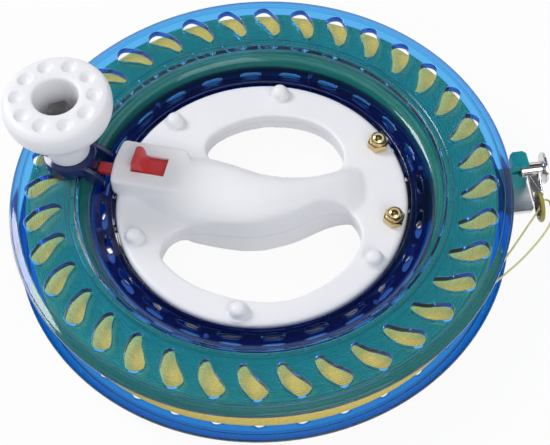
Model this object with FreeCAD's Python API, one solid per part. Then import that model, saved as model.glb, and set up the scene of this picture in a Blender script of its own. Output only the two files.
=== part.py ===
import FreeCAD, Part
import math
import os

# Kite line winder: a ring reel that runs on balls round a hand grip.
# Millimetres. Z is the reel's axis, z = 0 is the surface the winder lies on,
# and the origin is on the axis, on the flat under the grip.

os.makedirs("parts", exist_ok=True)

# Reel: two flange mouldings that meet at mid height
reel_radius = 110.0
reel_height = 28.0
reel_wall = 2.5
reel_mid_z = 16.5
rim_edge_height = 0.6
rim_bevel_width = 4.2
reel_bore_radius = 66.0
well_floor_width = 9.0
well_floor_height = 5.5
well_wall_run = 5.6
well_wall_belly = 1.1
drum_wall = 3.4

# Teardrop windows through each flange. The outline's points are (across, out), from the tail;
# the part that points out is stretched to fill the flange between its two margins.
drop_count = 36
drop_first_angle = 2.4
drop_drum_margin = 2.3
drop_rim_margin = 2.4
drop_outline = [(0.4, 0.0), (-1.2, 4.0), (0.4, 11.4), (4.6, 16.4), (8.4, 17.1), (12.1, 13.6),
                (10.9, 10.4), (4.8, 5.0)]

# Slots in the floor of the well
slot_count = 24
slot_first_angle = 1.5
slot_width = 2.6
slot_length = 9.8
slot_inset = 2.9

# Screws that join the two flange mouldings
flange_screw_count = 6
flange_screw_first_angle = 9.0
flange_screw_inset = 6.6
flange_screw_radius = 1.25
flange_screw_length = 11.0
flange_screw_head_radius = 2.3
flange_screw_head_height = 1.4
screw_hole_clearance = 0.25
screw_sides = 12

# Ball race between the grip and the reel
ball_radius = 2.0
ball_count = 24
ball_circle_inset = 0.6
race_clearance = 0.05
ball_rings = 3
ball_sides = 6
cage_thickness = 0.5
cage_base_height = 1.6
cage_post_height = 4.4
cage_pocket_clearance = 0.15
cage_sides = 48

# Grip: two shells that part at the reel's mid height. The outlines of the finger openings
# and of the palm swell are drawn for a plate of outline_plate_radius.
grip_running_gap = 1.2
outline_plate_radius = 64.8
grip_disc_height = 9.8
grip_edge_bevel = 2.0
palm_height = 18.0
palm_fullness = 2.4
palm_steps = 6
boss_angles = (130.0, 79.0, 197.0, 258.0, 322.5)
boss_rim_distance = 6.2
boss_radius = 4.2
boss_height = 3.6
boss_top_radius = 2.4
boss_sides = 12
shell_screw_radius = 1.5
shell_screw_length = 10.0
shell_screw_grip = 5.5
shell_screw_head_radius = 3.0
shell_screw_head_height = 1.8

# Lock: a red slide bolt in a raised housing, pointing at the winding knob
lock_angle = 164.5
housing_top_height = 16.3
housing_length = 30.8
housing_width = 23.6
housing_corner_radius = 4.0
housing_taper = 0.9
bolt_width = 5.6
bolt_thickness = 3.4
bolt_floor_height = 6.2
bolt_reach = 9.8
bolt_tip_rounding = 1.6
bolt_travel = 7.0
bolt_clearance = 0.3
carriage_width = 10.6
carriage_rim_distance = 7.4
carriage_length = 15.4
carriage_height = 8.2
window_width = 9.0
window_rim_distance = 7.8
window_length = 11.4
thumb_length = 3.8
thumb_height = 6.0
thumb_lean = 1.6

# Winding knob, its axle bolt and the boss that carries it
knob_drum_offset = 3.0
knob_pad_reach = 10.0
knob_boss_radius = 12.2
knob_boss_height = 3.5
knob_lift = 0.3
knob_height = 35.8
knob_cap_radius = 23.8
knob_cap_height = 20.5
knob_shoulder_radius = 20.6
knob_shoulder_drop = 2.0
knob_crown_radius = 18.0
knob_side_drop = 7.0
knob_side_height = 5.0
knob_under_radius = 20.4
knob_under_rise = 1.0
knob_stem_radius = 9.5
knob_throat_drop = 5.0
knob_well_radius = 9.4
knob_well_floor = 20.3
knob_dimple_count = 10
knob_dimple_circle_radius = 14.6
knob_dimple_radius = 3.6
knob_dimple_floor_radius = 1.8
knob_dimple_depth = 1.5
knob_dimple_sides = 8
axle_radius = 4.0
axle_running_clearance = 0.05
axle_head_across_flats = 13.0
axle_head_height = 5.3
washer_radius = 8.0
washer_thickness = 1.2
washer_running_gap = 0.3
insert_radius = 5.6
insert_skin = 0.4
web_spread = 7.0
web_thickness = 2.2
web_inset = 3.8
web_inner_height = 4.0

# Line guide: bent arm, block, pin and ring, in the arm's own direction
guide_angle = 4.6
arm_thickness = 1.9
arm_root_depth = 15.8
arm_root_corner = 5.0
arm_end_corner = 1.5
arm_flat_margin = 3.3
arm_step_reach = 6.2
arm_end_margin = 1.2
arm_width = 24.0
arm_bolt_spacing = 41.0
arm_bolt_depth = 9.2
arm_bolt_edge = 4.5
arm_bolt_radius = 2.5
arm_bolt_head_across_flats = 8.0
arm_bolt_head_height = 3.4
nut_across_flats = 8.0
nut_hex_height = 4.0
nut_dome_radius = 3.6
nut_dome_height = 3.4
nut_dome_sides = 12
block_rim_clearance = 3.6
block_length = 7.6
block_width = 8.2
block_height = 16.7
block_front = 1.4
block_chamfer = 1.5
barrel_radius = 3.3
barrel_seat_depth = 3.8
barrel_length = 10.2
barrel_offset = 2.4
barrel_z = 13.6
barrel_clearance = 0.1
pin_radius = 1.6
pin_head_radius = 7.2
pin_head_thickness = 1.3
pin_head_dome = 1.2
pin_head_flat_radius = 4.4
guide_drop_angle = 21.8
guide_reach = 17.5
eye_radius = 6.2
eye_section_radius = 0.9
eye_insert_bore_radius = 4.0
eye_insert_thickness = 2.2
eye_station = 6.2
strap_thickness = 0.9
strap_root_width = 6.0
strap_tip_width = 3.6
leg_wire_radius = 0.5
leg_station_offset = 1.9
leg_end_angle = 52.0

# Line: the wound core, the outer layer of turns and the free end
line_radius = 0.45
free_line_sides = 4
line_rim_depth = 9.4
outer_turns = 4
turn_gap = 0.5
turn_seat = 0.06
turn_height = 2.0
free_line_points = [
    (93.0, -48.6, 13.6),
    (103.2, -35.2, 13.4),
    (111.6, -23.6, 12.0),
    (117.6, -14.6, 9.8),
    (121.8, -8.4, 7.8),
    (124.6, -3.6, 7.0),
    (127.0, -0.2, 7.3),
    (129.0, -1.6, 7.9),
    (128.9, -6.0, 8.3),
    (128.6, -11.4, 8.9),
    (125.6, -17.6, 9.9),
    (118.6, -26.6, 11.4),
    (107.0, -39.2, 13.8),
    (90.6, -52.8, 16.6),
]

# Sizes that follow from the ones above
half_height = reel_height / 2.0
plate_under = half_height - reel_wall
well_radius = reel_bore_radius + well_floor_width
well_top_radius = well_radius + well_wall_run
drum_radius = well_top_radius + drum_wall
drop_inner_radius = drum_radius + drop_drum_margin
drop_length = reel_radius - rim_bevel_width - drop_rim_margin - drop_inner_radius
slot_inner_radius = reel_bore_radius + slot_inset
flange_screw_circle_radius = reel_bore_radius + flange_screw_inset
wound_radius = reel_radius - line_rim_depth
grip_disc_radius = reel_bore_radius - grip_running_gap
ball_circle_radius = reel_bore_radius - ball_circle_inset
disc_half = grip_disc_height / 2.0
outline_scale = grip_disc_radius / outline_plate_radius
boss_circle_radius = grip_disc_radius - boss_rim_distance
housing_inner_radius = grip_disc_radius - housing_length
bolt_tip_radius = grip_disc_radius + bolt_reach
carriage_nose_radius = grip_disc_radius - carriage_rim_distance
carriage_tail_radius = carriage_nose_radius - carriage_length
window_outer_radius = grip_disc_radius - window_rim_distance
window_inner_radius = window_outer_radius - window_length
knob_circle_radius = drum_radius + knob_drum_offset
web_inner_radius = reel_bore_radius + web_inset
arm_root_radius = grip_disc_radius - arm_root_depth
arm_root_width = arm_bolt_spacing + 2.0 * arm_bolt_edge
arm_bolt_radius_out = grip_disc_radius - arm_bolt_depth
arm_flat_radius = grip_disc_radius - arm_flat_margin
arm_step_radius = grip_disc_radius + arm_step_reach
block_inner_radius = reel_radius + block_rim_clearance
block_outer_radius = block_inner_radius + block_length
arm_end_radius = block_outer_radius + arm_end_margin
barrel_start_radius = block_outer_radius - barrel_seat_depth
barrel_end_radius = barrel_start_radius + barrel_length
eye_station_radius = barrel_start_radius + eye_station
race_reach = (ball_radius + race_clearance) * math.sqrt(2.0)
race_height = grip_disc_radius - ball_circle_radius + race_reach
knob_seat_z = reel_mid_z + half_height + knob_boss_height
knob_base_z = knob_seat_z + knob_lift
Z_AXIS = FreeCAD.Vector(0, 0, 1)


def vec(x, y, z=0.0):
    return FreeCAD.Vector(x, y, z)


def polar(radius, angle, z=0.0):
    turn = math.radians(angle)
    return vec(radius * math.cos(turn), radius * math.sin(turn), z)


def save(node, shape):
    shape.exportStep(os.path.join("parts", node + ".step"))


def line_face(points):
    return Part.Face(Part.makePolygon(points + [points[0]]))


def wire_face(edges):
    return Part.Face(Part.Wire(edges))


def segment(start, end):
    return Part.LineSegment(start, end).toShape()


def arc(start, middle, end):
    return Part.Arc(start, middle, end).toShape()


def spun(points):
    """Solid of revolution about Z from (radius, z) points."""
    face = line_face([vec(radius, 0, z) for radius, z in points])
    return face.revolve(vec(0, 0, 0), Z_AXIS, 360)


def turned(shape, angle):
    copy = shape.copy()
    copy.rotate(vec(0, 0, 0), Z_AXIS, angle)
    return copy


def moved(shape, offset):
    copy = shape.copy()
    copy.translate(offset)
    return copy


def box_between(low, high):
    size = high - low
    return Part.makeBox(size.x, size.y, size.z, low)


def upside_down(shape):
    """The same shape mirrored in the reel's mid plane."""
    return shape.mirror(vec(0, 0, reel_mid_z), Z_AXIS)


def polygon_wire(radius, sides, base, angle=0.0):
    points = [base + polar(radius, angle + 360.0 / sides * i) for i in range(sides)]
    return Part.makePolygon(points + [points[0]])


def prism(radius, sides, height, base, angle=0.0):
    return Part.Face(polygon_wire(radius, sides, base, angle)).extrude(vec(0, 0, height))


def hexagon_prism(across_flats, height, base, angle=0.0):
    return prism(across_flats / math.sqrt(3.0), 6, height, base, angle)


def faceted_cone(low_radius, high_radius, sides, height, base):
    """Tapered post with flat sides."""
    low = [base + polar(low_radius, 360.0 / sides * i) for i in range(sides)]
    high = [base + polar(high_radius, 360.0 / sides * i, height) for i in range(sides)]
    faces = [line_face(low), line_face(high)]
    for i in range(sides):
        after = (i + 1) % sides
        faces.append(line_face([low[i], low[after], high[after], high[i]]))
    return Part.Solid(Part.makeShell(faces))


# Flange moulding, drawn as the upper half; the lower one is its mirror image

def flange_section():
    """Half section: bevelled rim, drum, half of the ball race, floor and wall of the well."""
    z0 = reel_mid_z
    face_z = z0 + half_height
    under_z = z0 + plate_under
    floor_z = z0 + well_floor_height
    race_z = z0 + ball_circle_radius + race_reach - reel_bore_radius
    wall_radius = (well_radius + well_top_radius) / 2.0 + well_wall_belly
    wall_z = (floor_z + face_z) / 2.0 - well_wall_belly
    points = [
        (reel_radius - rim_bevel_width, face_z),
        (reel_radius, under_z + rim_edge_height),
        (reel_radius, under_z),
        (drum_radius, under_z),
        (drum_radius, z0),
        (ball_circle_radius + race_reach, z0),
        (reel_bore_radius, race_z),
        (reel_bore_radius, floor_z),
        (well_radius, floor_z),
        (wall_radius, wall_z),
        (well_top_radius, face_z),
    ]
    return points


def teardrop_cutter():
    """One window, drawn on the X axis: its tail points at the reel's axis."""
    low_z = reel_mid_z + plate_under - 1.0
    stretch = drop_length / max(out for across, out in drop_outline)
    points = [vec(drop_inner_radius + stretch * out, across, low_z) for across, out in drop_outline]
    return line_face(points).extrude(vec(0, 0, reel_wall + 2.0))


def slot_cutter():
    """One floor slot, drawn on the X axis just outside the ball race."""
    low = vec(slot_inner_radius, -slot_length / 2.0, reel_mid_z - 1.0)
    high_z = reel_mid_z + well_floor_height + 1.0
    high = vec(slot_inner_radius + slot_width, slot_length / 2.0, high_z)
    return box_between(low, high)


def flange_screw_places():
    step = 360.0 / flange_screw_count
    return [flange_screw_first_angle + step * i for i in range(flange_screw_count)]


def plain_flange():
    body = spun(flange_section())
    cutters = []
    for i in range(drop_count):
        cutters.append(turned(teardrop_cutter(), drop_first_angle + 360.0 / drop_count * i))
    for i in range(slot_count):
        cutters.append(turned(slot_cutter(), slot_first_angle + 360.0 / slot_count * i))
    return body.cut(Part.makeCompound(cutters))


def knob_boss():
    """Raised pad under the knob, with two webs that run down into the well."""
    axis = vec(knob_circle_radius, 0, 0)
    face_z = reel_mid_z + half_height
    pad_low = reel_mid_z + plate_under
    pad_height = knob_seat_z - pad_low
    pad = Part.makeCylinder(knob_boss_radius, pad_height, axis + vec(0, 0, pad_low))
    block_low = vec(knob_circle_radius - knob_pad_reach, -web_spread - web_thickness / 2.0, face_z - reel_wall)
    block_high = vec(knob_circle_radius, web_spread + web_thickness / 2.0, knob_seat_z)
    pad = pad.fuse(box_between(block_low, block_high))
    floor_z = reel_mid_z + well_floor_height
    outer = knob_circle_radius - 4.0
    crest = (web_inner_radius + outer) / 2.0 - 1.6
    webs = []
    for side in (-1, 1):
        y = side * web_spread - web_thickness / 2.0
        points = [
            vec(web_inner_radius, y, floor_z - 1.0),
            vec(web_inner_radius, y, floor_z + web_inner_height),
            vec(crest, y, knob_seat_z - 2.0),
            vec(outer, y, knob_seat_z),
            vec(outer, y, face_z - 1.0),
            vec(well_top_radius, y, face_z - 1.0),
            vec(well_radius + 1.0, y, floor_z - 1.0),
        ]
        webs.append(line_face(points).extrude(vec(0, web_thickness, 0)))
    return pad.fuse(webs)


def upper_flange():
    body = plain_flange().fuse(turned(knob_boss(), lock_angle))
    axis = polar(knob_circle_radius, lock_angle)
    pocket_base = axis + vec(0, 0, reel_mid_z + plate_under - 1.0)
    pocket = prism(insert_radius, 6, knob_seat_z - pocket_base.z + 1.0, pocket_base, 12.0)
    pilots = []
    for angle in flange_screw_places():
        base = polar(flange_screw_circle_radius, angle, reel_mid_z - 1.0)
        pilots.append(prism(flange_screw_radius, screw_sides // 2, well_floor_height, base))
    return body.cut(Part.makeCompound([pocket] + pilots))


def flange_screw_head_z():
    return reel_mid_z - well_floor_height


def lower_flange():
    body = upside_down(plain_flange())
    holes = []
    hole_radius = flange_screw_radius + screw_hole_clearance
    for angle in flange_screw_places():
        base = polar(flange_screw_circle_radius, angle, flange_screw_head_z() - 1.0)
        holes.append(Part.makeCylinder(hole_radius, well_floor_height + 2.0, base))
    return body.cut(Part.makeCompound(holes))


def pan_screw(radius, length, head_radius, head_height, seat):
    """Screw standing on its head; its head's upper side is at the seat."""
    head = faceted_cone(0.8 * head_radius, head_radius, screw_sides, head_height,
                        seat - vec(0, 0, head_height))
    shank = prism(radius, screw_sides // 2, length, seat)
    return head.fuse(shank)


def flange_screws():
    screws = []
    length = min(flange_screw_length, reel_mid_z + well_floor_height - 1.4 - flange_screw_head_z())
    for angle in flange_screw_places():
        seat = polar(flange_screw_circle_radius, angle, flange_screw_head_z())
        screws.append(pan_screw(flange_screw_radius, length, flange_screw_head_radius,
                                flange_screw_head_height, seat))
    return Part.makeCompound(screws)


# Ball race

def faceted_ball(centre):
    """Ball with flat facets, inside its true sphere."""
    rings = []
    for i in range(1, ball_rings):
        tilt = math.radians(180.0 * i / ball_rings - 90.0)
        ring = []
        for k in range(ball_sides):
            spot = polar(ball_radius * math.cos(tilt), 360.0 / ball_sides * k)
            ring.append(centre + spot + vec(0, 0, ball_radius * math.sin(tilt)))
        rings.append(ring)
    bottom = centre - vec(0, 0, ball_radius)
    top = centre + vec(0, 0, ball_radius)
    faces = []
    for k in range(ball_sides):
        after = (k + 1) % ball_sides
        faces.append(line_face([bottom, rings[0][k], rings[0][after]]))
        faces.append(line_face([top, rings[-1][k], rings[-1][after]]))
        for low, high in zip(rings, rings[1:]):
            faces.append(line_face([low[k], low[after], high[after], high[k]]))
    return Part.Solid(Part.makeShell(faces))


def ball_places():
    return [360.0 / ball_count * (i + 0.5) for i in range(ball_count)]


def bearing_balls():
    balls = []
    for angle in ball_places():
        balls.append(faceted_ball(polar(ball_circle_radius, angle, reel_mid_z)))
    return Part.makeCompound(balls)


def ball_cage():
    """Thin strip bent round the race, with a pocket for each ball."""
    low_z = reel_mid_z - ball_radius - cage_pocket_clearance - cage_base_height
    high_z = reel_mid_z + cage_post_height / 2.0
    base = vec(0, 0, low_z)
    outer = prism(ball_circle_radius + cage_thickness / 2.0, cage_sides, high_z - low_z, base)
    inner = prism(ball_circle_radius - cage_thickness / 2.0, cage_sides, high_z - low_z, base)
    half = ball_radius + cage_pocket_clearance
    pocket = box_between(vec(ball_circle_radius - 3.0, -half, reel_mid_z - half),
                         vec(ball_circle_radius + 3.0, half, high_z + 1.0))
    pockets = Part.makeCompound([turned(pocket, angle) for angle in ball_places()])
    return outer.cut(inner).cut(pockets)


# Grip

def upper_opening(low_z, height):
    """Finger opening behind the grip bar."""
    points = [(-25.2, 31.0), (0.5, 46.8), (35.6, 32.0), (36.6, 14.2), (18.0, 4.4), (-9.5, 11.6)]
    mids = [(-16.4, 42.2), (21.0, 44.2), (39.0, 22.6), (28.6, 7.0), (3.6, 5.6), (-20.6, 20.6)]
    return opening_prism(points, mids, low_z, height)


def lower_opening(low_z, height):
    """Finger opening in front of the grip bar."""
    points = [(-45.8, -24.0), (-38.5, -14.0), (-9.0, -17.6), (20.5, -10.8), (36.6, -8.4),
              (42.6, -23.6), (5.0, -53.6), (-37.0, -38.8)]
    mids = [(-43.6, -17.0), (-24.0, -13.8), (7.0, -17.4), (28.8, -7.2), (43.0, -14.6),
            (28.0, -46.0), (-18.0, -49.8), (-43.6, -31.8)]
    return opening_prism(points, mids, low_z, height)


def opening_prism(points, mids, low_z, height):
    corners = [vec(x * outline_scale, y * outline_scale, low_z) for x, y in points]
    bows = [vec(x * outline_scale, y * outline_scale, low_z) for x, y in mids]
    edges = []
    for i, start in enumerate(corners):
        edges.append(arc(start, bows[i], corners[(i + 1) % len(corners)]))
    return wire_face(edges).extrude(vec(0, 0, height))


def palm_section(x, y, half_width, height):
    """Half round section across the grip bar, flat on the parting plane."""
    points = []
    for i in range(palm_steps + 1):
        turn = math.pi * (1.0 - i / palm_steps)
        across = math.copysign(abs(math.cos(turn)) ** (2.0 / palm_fullness), math.cos(turn))
        up = math.sin(turn) ** (2.0 / palm_fullness) if 0 < i < palm_steps else 0.0
        points.append(vec(x, y + half_width * across, reel_mid_z + height * up))
    return points


def palm_swell():
    """Upper half of the grip bar: flat facets between its sections along X."""
    stations = [
        (-56.0, 14.0, 10.5, 10.0),
        (-42.0, 8.0, 17.0, 14.6),
        (-21.0, 2.0, 19.5, palm_height),
        (0.0, -4.4, 15.6, palm_height),
        (20.0, -3.4, 11.6, 15.2),
        (37.0, 1.0, 13.0, 10.2),
        (47.0, 3.4, 15.4, 4.6),
    ]
    rows = []
    for x, y, half_width, height in stations:
        rows.append(palm_section(x * outline_scale, y * outline_scale, half_width * outline_scale, height))
    faces = [line_face(rows[0]), line_face(rows[-1])]
    for row, ahead in zip(rows, rows[1:]):
        faces.append(line_face([row[0], row[-1], ahead[-1]]))
        faces.append(line_face([row[0], ahead[-1], ahead[0]]))
        for k in range(palm_steps):
            faces.append(line_face([row[k], row[k + 1], ahead[k]]))
            faces.append(line_face([row[k + 1], ahead[k + 1], ahead[k]]))
    return Part.Solid(Part.makeShell(faces))


def grip_disc_half():
    """Upper half of the grip's round plate, with its half of the ball race."""
    z0 = reel_mid_z
    top_z = z0 + disc_half
    rim = grip_disc_radius
    race_root = ball_circle_radius - race_reach
    return spun([
        (0.0, z0),
        (race_root, z0),
        (rim, z0 + race_height),
        (rim, top_z - grip_edge_bevel),
        (rim - grip_edge_bevel, top_z),
        (0.0, top_z),
    ])


def grip_half():
    """Plate and palm swell in one, with both finger openings through them."""
    body = grip_disc_half().fuse(palm_swell())
    low_z = reel_mid_z - 1.0
    height = palm_height + 3.0
    return body.cut(Part.makeCompound([upper_opening(low_z, height), lower_opening(low_z, height)]))


def lock_housing():
    """Raised block over the lock, drawn on the X axis; its outer end follows the plate's edge."""
    low_z = reel_mid_z + race_height
    high_z = reel_mid_z + housing_top_height
    half = housing_width / 2.0
    corner = housing_corner_radius
    inner = housing_inner_radius
    outer = grip_disc_radius - 0.4
    corner_x = math.sqrt(outer ** 2 - half ** 2)
    bow = (1.0 - math.sqrt(0.5)) * corner
    edges = [
        segment(vec(inner + corner, -half, low_z), vec(corner_x, -half, low_z)),
        arc(vec(corner_x, -half, low_z), vec(outer, 0, low_z), vec(corner_x, half, low_z)),
        segment(vec(corner_x, half, low_z), vec(inner + corner, half, low_z)),
        arc(vec(inner + corner, half, low_z), vec(inner + bow, half - bow, low_z),
            vec(inner, half - corner, low_z)),
        segment(vec(inner, half - corner, low_z), vec(inner, -half + corner, low_z)),
        arc(vec(inner, -half + corner, low_z), vec(inner + bow, -half + bow, low_z),
            vec(inner + corner, -half, low_z)),
    ]
    body = wire_face(edges).extrude(vec(0, 0, high_z - low_z))
    rims = [edge for edge in body.Edges if edge.BoundBox.ZMin > high_z - 0.01]
    return body.makeChamfer(housing_taper, rims)


def lock_channel():
    """Space that the slide bolt runs in, open to the parting plane under the carriage."""
    gap = bolt_clearance
    floor_z = reel_mid_z + bolt_floor_height - gap
    carriage_top = reel_mid_z + bolt_floor_height + carriage_height + gap
    bolt_top = reel_mid_z + bolt_floor_height + bolt_thickness + gap
    half_bolt = bolt_width / 2.0 + gap
    half_carriage = carriage_width / 2.0 + gap
    tail = carriage_tail_radius - bolt_travel - gap
    run = box_between(vec(tail, -half_bolt, floor_z),
                      vec(grip_disc_radius + 2.0, half_bolt, bolt_top))
    pocket = box_between(vec(tail, -half_carriage, reel_mid_z - 1.0),
                         vec(carriage_nose_radius + gap, half_carriage, carriage_top))
    window = box_between(
        vec(window_inner_radius, -window_width / 2.0, carriage_top - 1.0),
        vec(window_outer_radius + gap, window_width / 2.0, reel_mid_z + housing_top_height + 1.0))
    return run.fuse([pocket, window])


def boss_domes():
    """Blind bosses of the shell screws: short tapered posts."""
    base_z = reel_mid_z + disc_half - 0.5
    return [faceted_cone(boss_radius, boss_top_radius, boss_sides, boss_height + 0.5,
                         polar(boss_circle_radius, angle, base_z)) for angle in boss_angles]


def arm_bolt_places():
    half = arm_bolt_spacing / 2.0
    return [turned_point(vec(arm_bolt_radius_out, side * half), guide_angle) for side in (-1, 1)]


def turned_point(point, angle):
    return FreeCAD.Rotation(Z_AXIS, angle).multVec(point)


def grip_top_shell():
    body = grip_half().fuse([turned(lock_housing(), lock_angle)] + boss_domes())
    cutters = [turned(lock_channel(), lock_angle)]
    for angle in boss_angles:
        base = polar(boss_circle_radius, angle, reel_mid_z - 1.0)
        cutters.append(prism(shell_screw_radius, screw_sides // 2, shell_screw_grip + 1.0, base))
    for place in arm_bolt_places():
        hole_radius = arm_bolt_radius + screw_hole_clearance
        base = place + vec(0, 0, reel_mid_z - 1.0)
        cutters.append(Part.makeCylinder(hole_radius, grip_disc_height, base))
    return body.cut(Part.makeCompound(cutters))


def shell_screw_seat_z():
    return reel_mid_z - disc_half


def grip_bottom_shell():
    body = upside_down(grip_half())
    under = vec(-reel_radius, -reel_radius, reel_mid_z - 2.0 * palm_height)
    body = body.cut(box_between(under, vec(reel_radius, reel_radius, 0.0)))
    gap = bolt_clearance
    tail = carriage_tail_radius - bolt_travel
    half = carriage_width / 2.0
    pad = box_between(vec(tail, -half, reel_mid_z - 1.0),
                      vec(carriage_nose_radius, half, reel_mid_z + bolt_floor_height - gap))
    body = body.fuse(turned(pad, lock_angle))
    cutters = []
    bottom = reel_mid_z - disc_half - 1.0
    for angle in boss_angles:
        base = polar(boss_circle_radius, angle, bottom)
        shank = shell_screw_radius + screw_hole_clearance
        cutters.append(Part.makeCylinder(shank, disc_half + 2.0, base))
    for place in arm_bolt_places():
        hole_radius = arm_bolt_radius + screw_hole_clearance
        cutters.append(Part.makeCylinder(hole_radius, grip_disc_height, place + vec(0, 0, bottom)))
    return body.cut(Part.makeCompound(cutters))


def shell_screws():
    screws = []
    for angle in boss_angles:
        seat = polar(boss_circle_radius, angle, shell_screw_seat_z())
        screws.append(pan_screw(shell_screw_radius, shell_screw_length, shell_screw_head_radius,
                                shell_screw_head_height, seat))
    return Part.makeCompound(screws)


# Lock slide: bolt, carriage and thumb piece in one moulding

def lock_slide():
    floor_z = reel_mid_z + bolt_floor_height
    half = bolt_width / 2.0
    carriage = box_between(vec(carriage_tail_radius, -carriage_width / 2.0, floor_z),
                           vec(carriage_nose_radius, carriage_width / 2.0, floor_z + carriage_height))
    root = carriage_nose_radius - 2.0
    tip = bolt_tip_radius
    soft = bolt_tip_rounding
    outline = [
        vec(root, -half, floor_z),
        vec(tip - soft, -half, floor_z),
        vec(tip, -half + soft, floor_z),
        vec(tip, half - soft, floor_z),
        vec(tip - soft, half, floor_z),
        vec(root, half, floor_z),
    ]
    bar = line_face(outline).extrude(vec(0, 0, bolt_thickness))
    thumb_outer = window_outer_radius
    thumb_inner = thumb_outer - thumb_length
    low_z = floor_z + carriage_height - 1.0
    high_z = reel_mid_z + housing_top_height + thumb_height
    side = window_width / 2.0 - bolt_clearance
    face = wire_face([
        segment(vec(thumb_inner, 0, low_z), vec(thumb_outer, 0, low_z)),
        arc(vec(thumb_outer, 0, low_z),
            vec(thumb_outer - 0.2 * thumb_lean, 0, (low_z + high_z) / 2.0),
            vec(thumb_outer - thumb_lean, 0, high_z)),
        segment(vec(thumb_outer - thumb_lean, 0, high_z), vec(thumb_inner + 0.4, 0, high_z)),
        segment(vec(thumb_inner + 0.4, 0, high_z), vec(thumb_inner, 0, low_z)),
    ])
    thumb = moved(face, vec(0, -side, 0)).extrude(vec(0, 2.0 * side, 0))
    return turned(carriage.fuse([bar, thumb]), lock_angle)


# Winding knob and its axle

def knob():
    """Turned and moulded knob: narrow stem, wide dished cap and a deep well for the bolt."""
    base_z = knob_base_z
    top_z = base_z + knob_height
    side_z = top_z - knob_side_drop
    under_z = top_z - knob_cap_height
    floor_z = base_z + knob_well_floor
    bore = axle_radius + axle_running_clearance
    body = spun([
        (bore, base_z),
        (knob_stem_radius, base_z),
        (knob_stem_radius, under_z - knob_throat_drop),
        (knob_under_radius, under_z + knob_under_rise),
        (knob_cap_radius, side_z - knob_side_height),
        (knob_cap_radius, side_z),
        (knob_shoulder_radius, top_z - knob_shoulder_drop),
        (knob_crown_radius, top_z),
        (knob_well_radius, top_z),
        (knob_well_radius, floor_z),
        (bore, floor_z),
    ])
    dimples = []
    for i in range(knob_dimple_count):
        spot = polar(knob_dimple_circle_radius, 360.0 / knob_dimple_count * i, top_z - knob_dimple_depth)
        dimples.append(faceted_cone(knob_dimple_floor_radius, knob_dimple_radius, knob_dimple_sides,
                                    knob_dimple_depth, spot))
    return moved(body.cut(Part.makeCompound(dimples)), polar(knob_circle_radius, lock_angle))


def axle_washer_z():
    return knob_base_z + knob_well_floor + washer_running_gap


def axle_washer():
    low_z = axle_washer_z()
    high_z = low_z + washer_thickness
    ring = spun([
        (axle_radius, low_z),
        (washer_radius, low_z),
        (washer_radius, high_z),
        (axle_radius, high_z),
    ])
    return moved(ring, polar(knob_circle_radius, lock_angle))


def axle_bolt():
    axis = polar(knob_circle_radius, lock_angle)
    low_z = reel_mid_z + plate_under + insert_skin
    seat_z = axle_washer_z() + washer_thickness
    shank = Part.makeCylinder(axle_radius, seat_z - low_z, axis + vec(0, 0, low_z))
    head = hexagon_prism(axle_head_across_flats, axle_head_height, axis + vec(0, 0, seat_z), 12.0)
    return shank.fuse(head)


def axle_insert():
    """Threaded brass insert with a six sided outside, pressed into the boss."""
    low_z = reel_mid_z + plate_under + insert_skin
    axis = polar(knob_circle_radius, lock_angle)
    height = knob_seat_z - low_z
    body = prism(insert_radius, 6, height, axis + vec(0, 0, low_z), 12.0)
    return body.cut(Part.makeCylinder(axle_radius, height, axis + vec(0, 0, low_z)))


# Line guide, drawn along the X axis and turned to its place

def guide_arm():
    top_z = reel_mid_z - disc_half
    side = [
        vec(arm_root_radius, 0, top_z),
        vec(arm_flat_radius, 0, top_z),
        vec(arm_step_radius, 0, arm_thickness),
        vec(arm_end_radius, 0, arm_thickness),
        vec(arm_end_radius, 0, 0.0),
        vec(arm_step_radius - 0.9, 0, 0.0),
        vec(arm_flat_radius - 0.9, 0, top_z - arm_thickness),
        vec(arm_root_radius, 0, top_z - arm_thickness),
    ]
    half_root = arm_root_width / 2.0
    half = arm_width / 2.0
    strip = moved(line_face(side), vec(0, -half_root, 0)).extrude(vec(0, arm_root_width, 0))
    corner = arm_root_corner
    end_corner = arm_end_corner
    plan = [
        vec(arm_root_radius, -half_root + corner),
        vec(arm_root_radius + corner, -half_root),
        vec(arm_flat_radius - corner / 2.0, -half_root),
        vec(arm_step_radius, -half),
        vec(arm_end_radius - end_corner, -half),
        vec(arm_end_radius, -half + end_corner),
        vec(arm_end_radius, half - end_corner),
        vec(arm_end_radius - end_corner, half),
        vec(arm_step_radius, half),
        vec(arm_flat_radius - corner / 2.0, half_root),
        vec(arm_root_radius + corner, half_root),
        vec(arm_root_radius, half_root - corner),
    ]
    outline = moved(line_face(plan), vec(0, 0, -1.0)).extrude(vec(0, 0, top_z + 2.0))
    body = turned(strip.common(outline), guide_angle)
    holes = []
    for place in arm_bolt_places():
        hole_radius = arm_bolt_radius + screw_hole_clearance
        holes.append(Part.makeCylinder(hole_radius, top_z + 2.0, place - vec(0, 0, 1.0)))
    return body.cut(Part.makeCompound(holes))


def guide_arm_bolts():
    bolts = []
    seat_z = reel_mid_z - disc_half - arm_thickness
    top_z = reel_mid_z + disc_half + nut_hex_height
    for place in arm_bolt_places():
        seat = vec(place.x, place.y, seat_z)
        head_base = seat - vec(0, 0, arm_bolt_head_height)
        head = hexagon_prism(arm_bolt_head_across_flats, arm_bolt_head_height, head_base, 4.6)
        bolts.append(head.fuse(Part.makeCylinder(arm_bolt_radius, top_z - seat_z, seat)))
    return Part.makeCompound(bolts)


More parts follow.
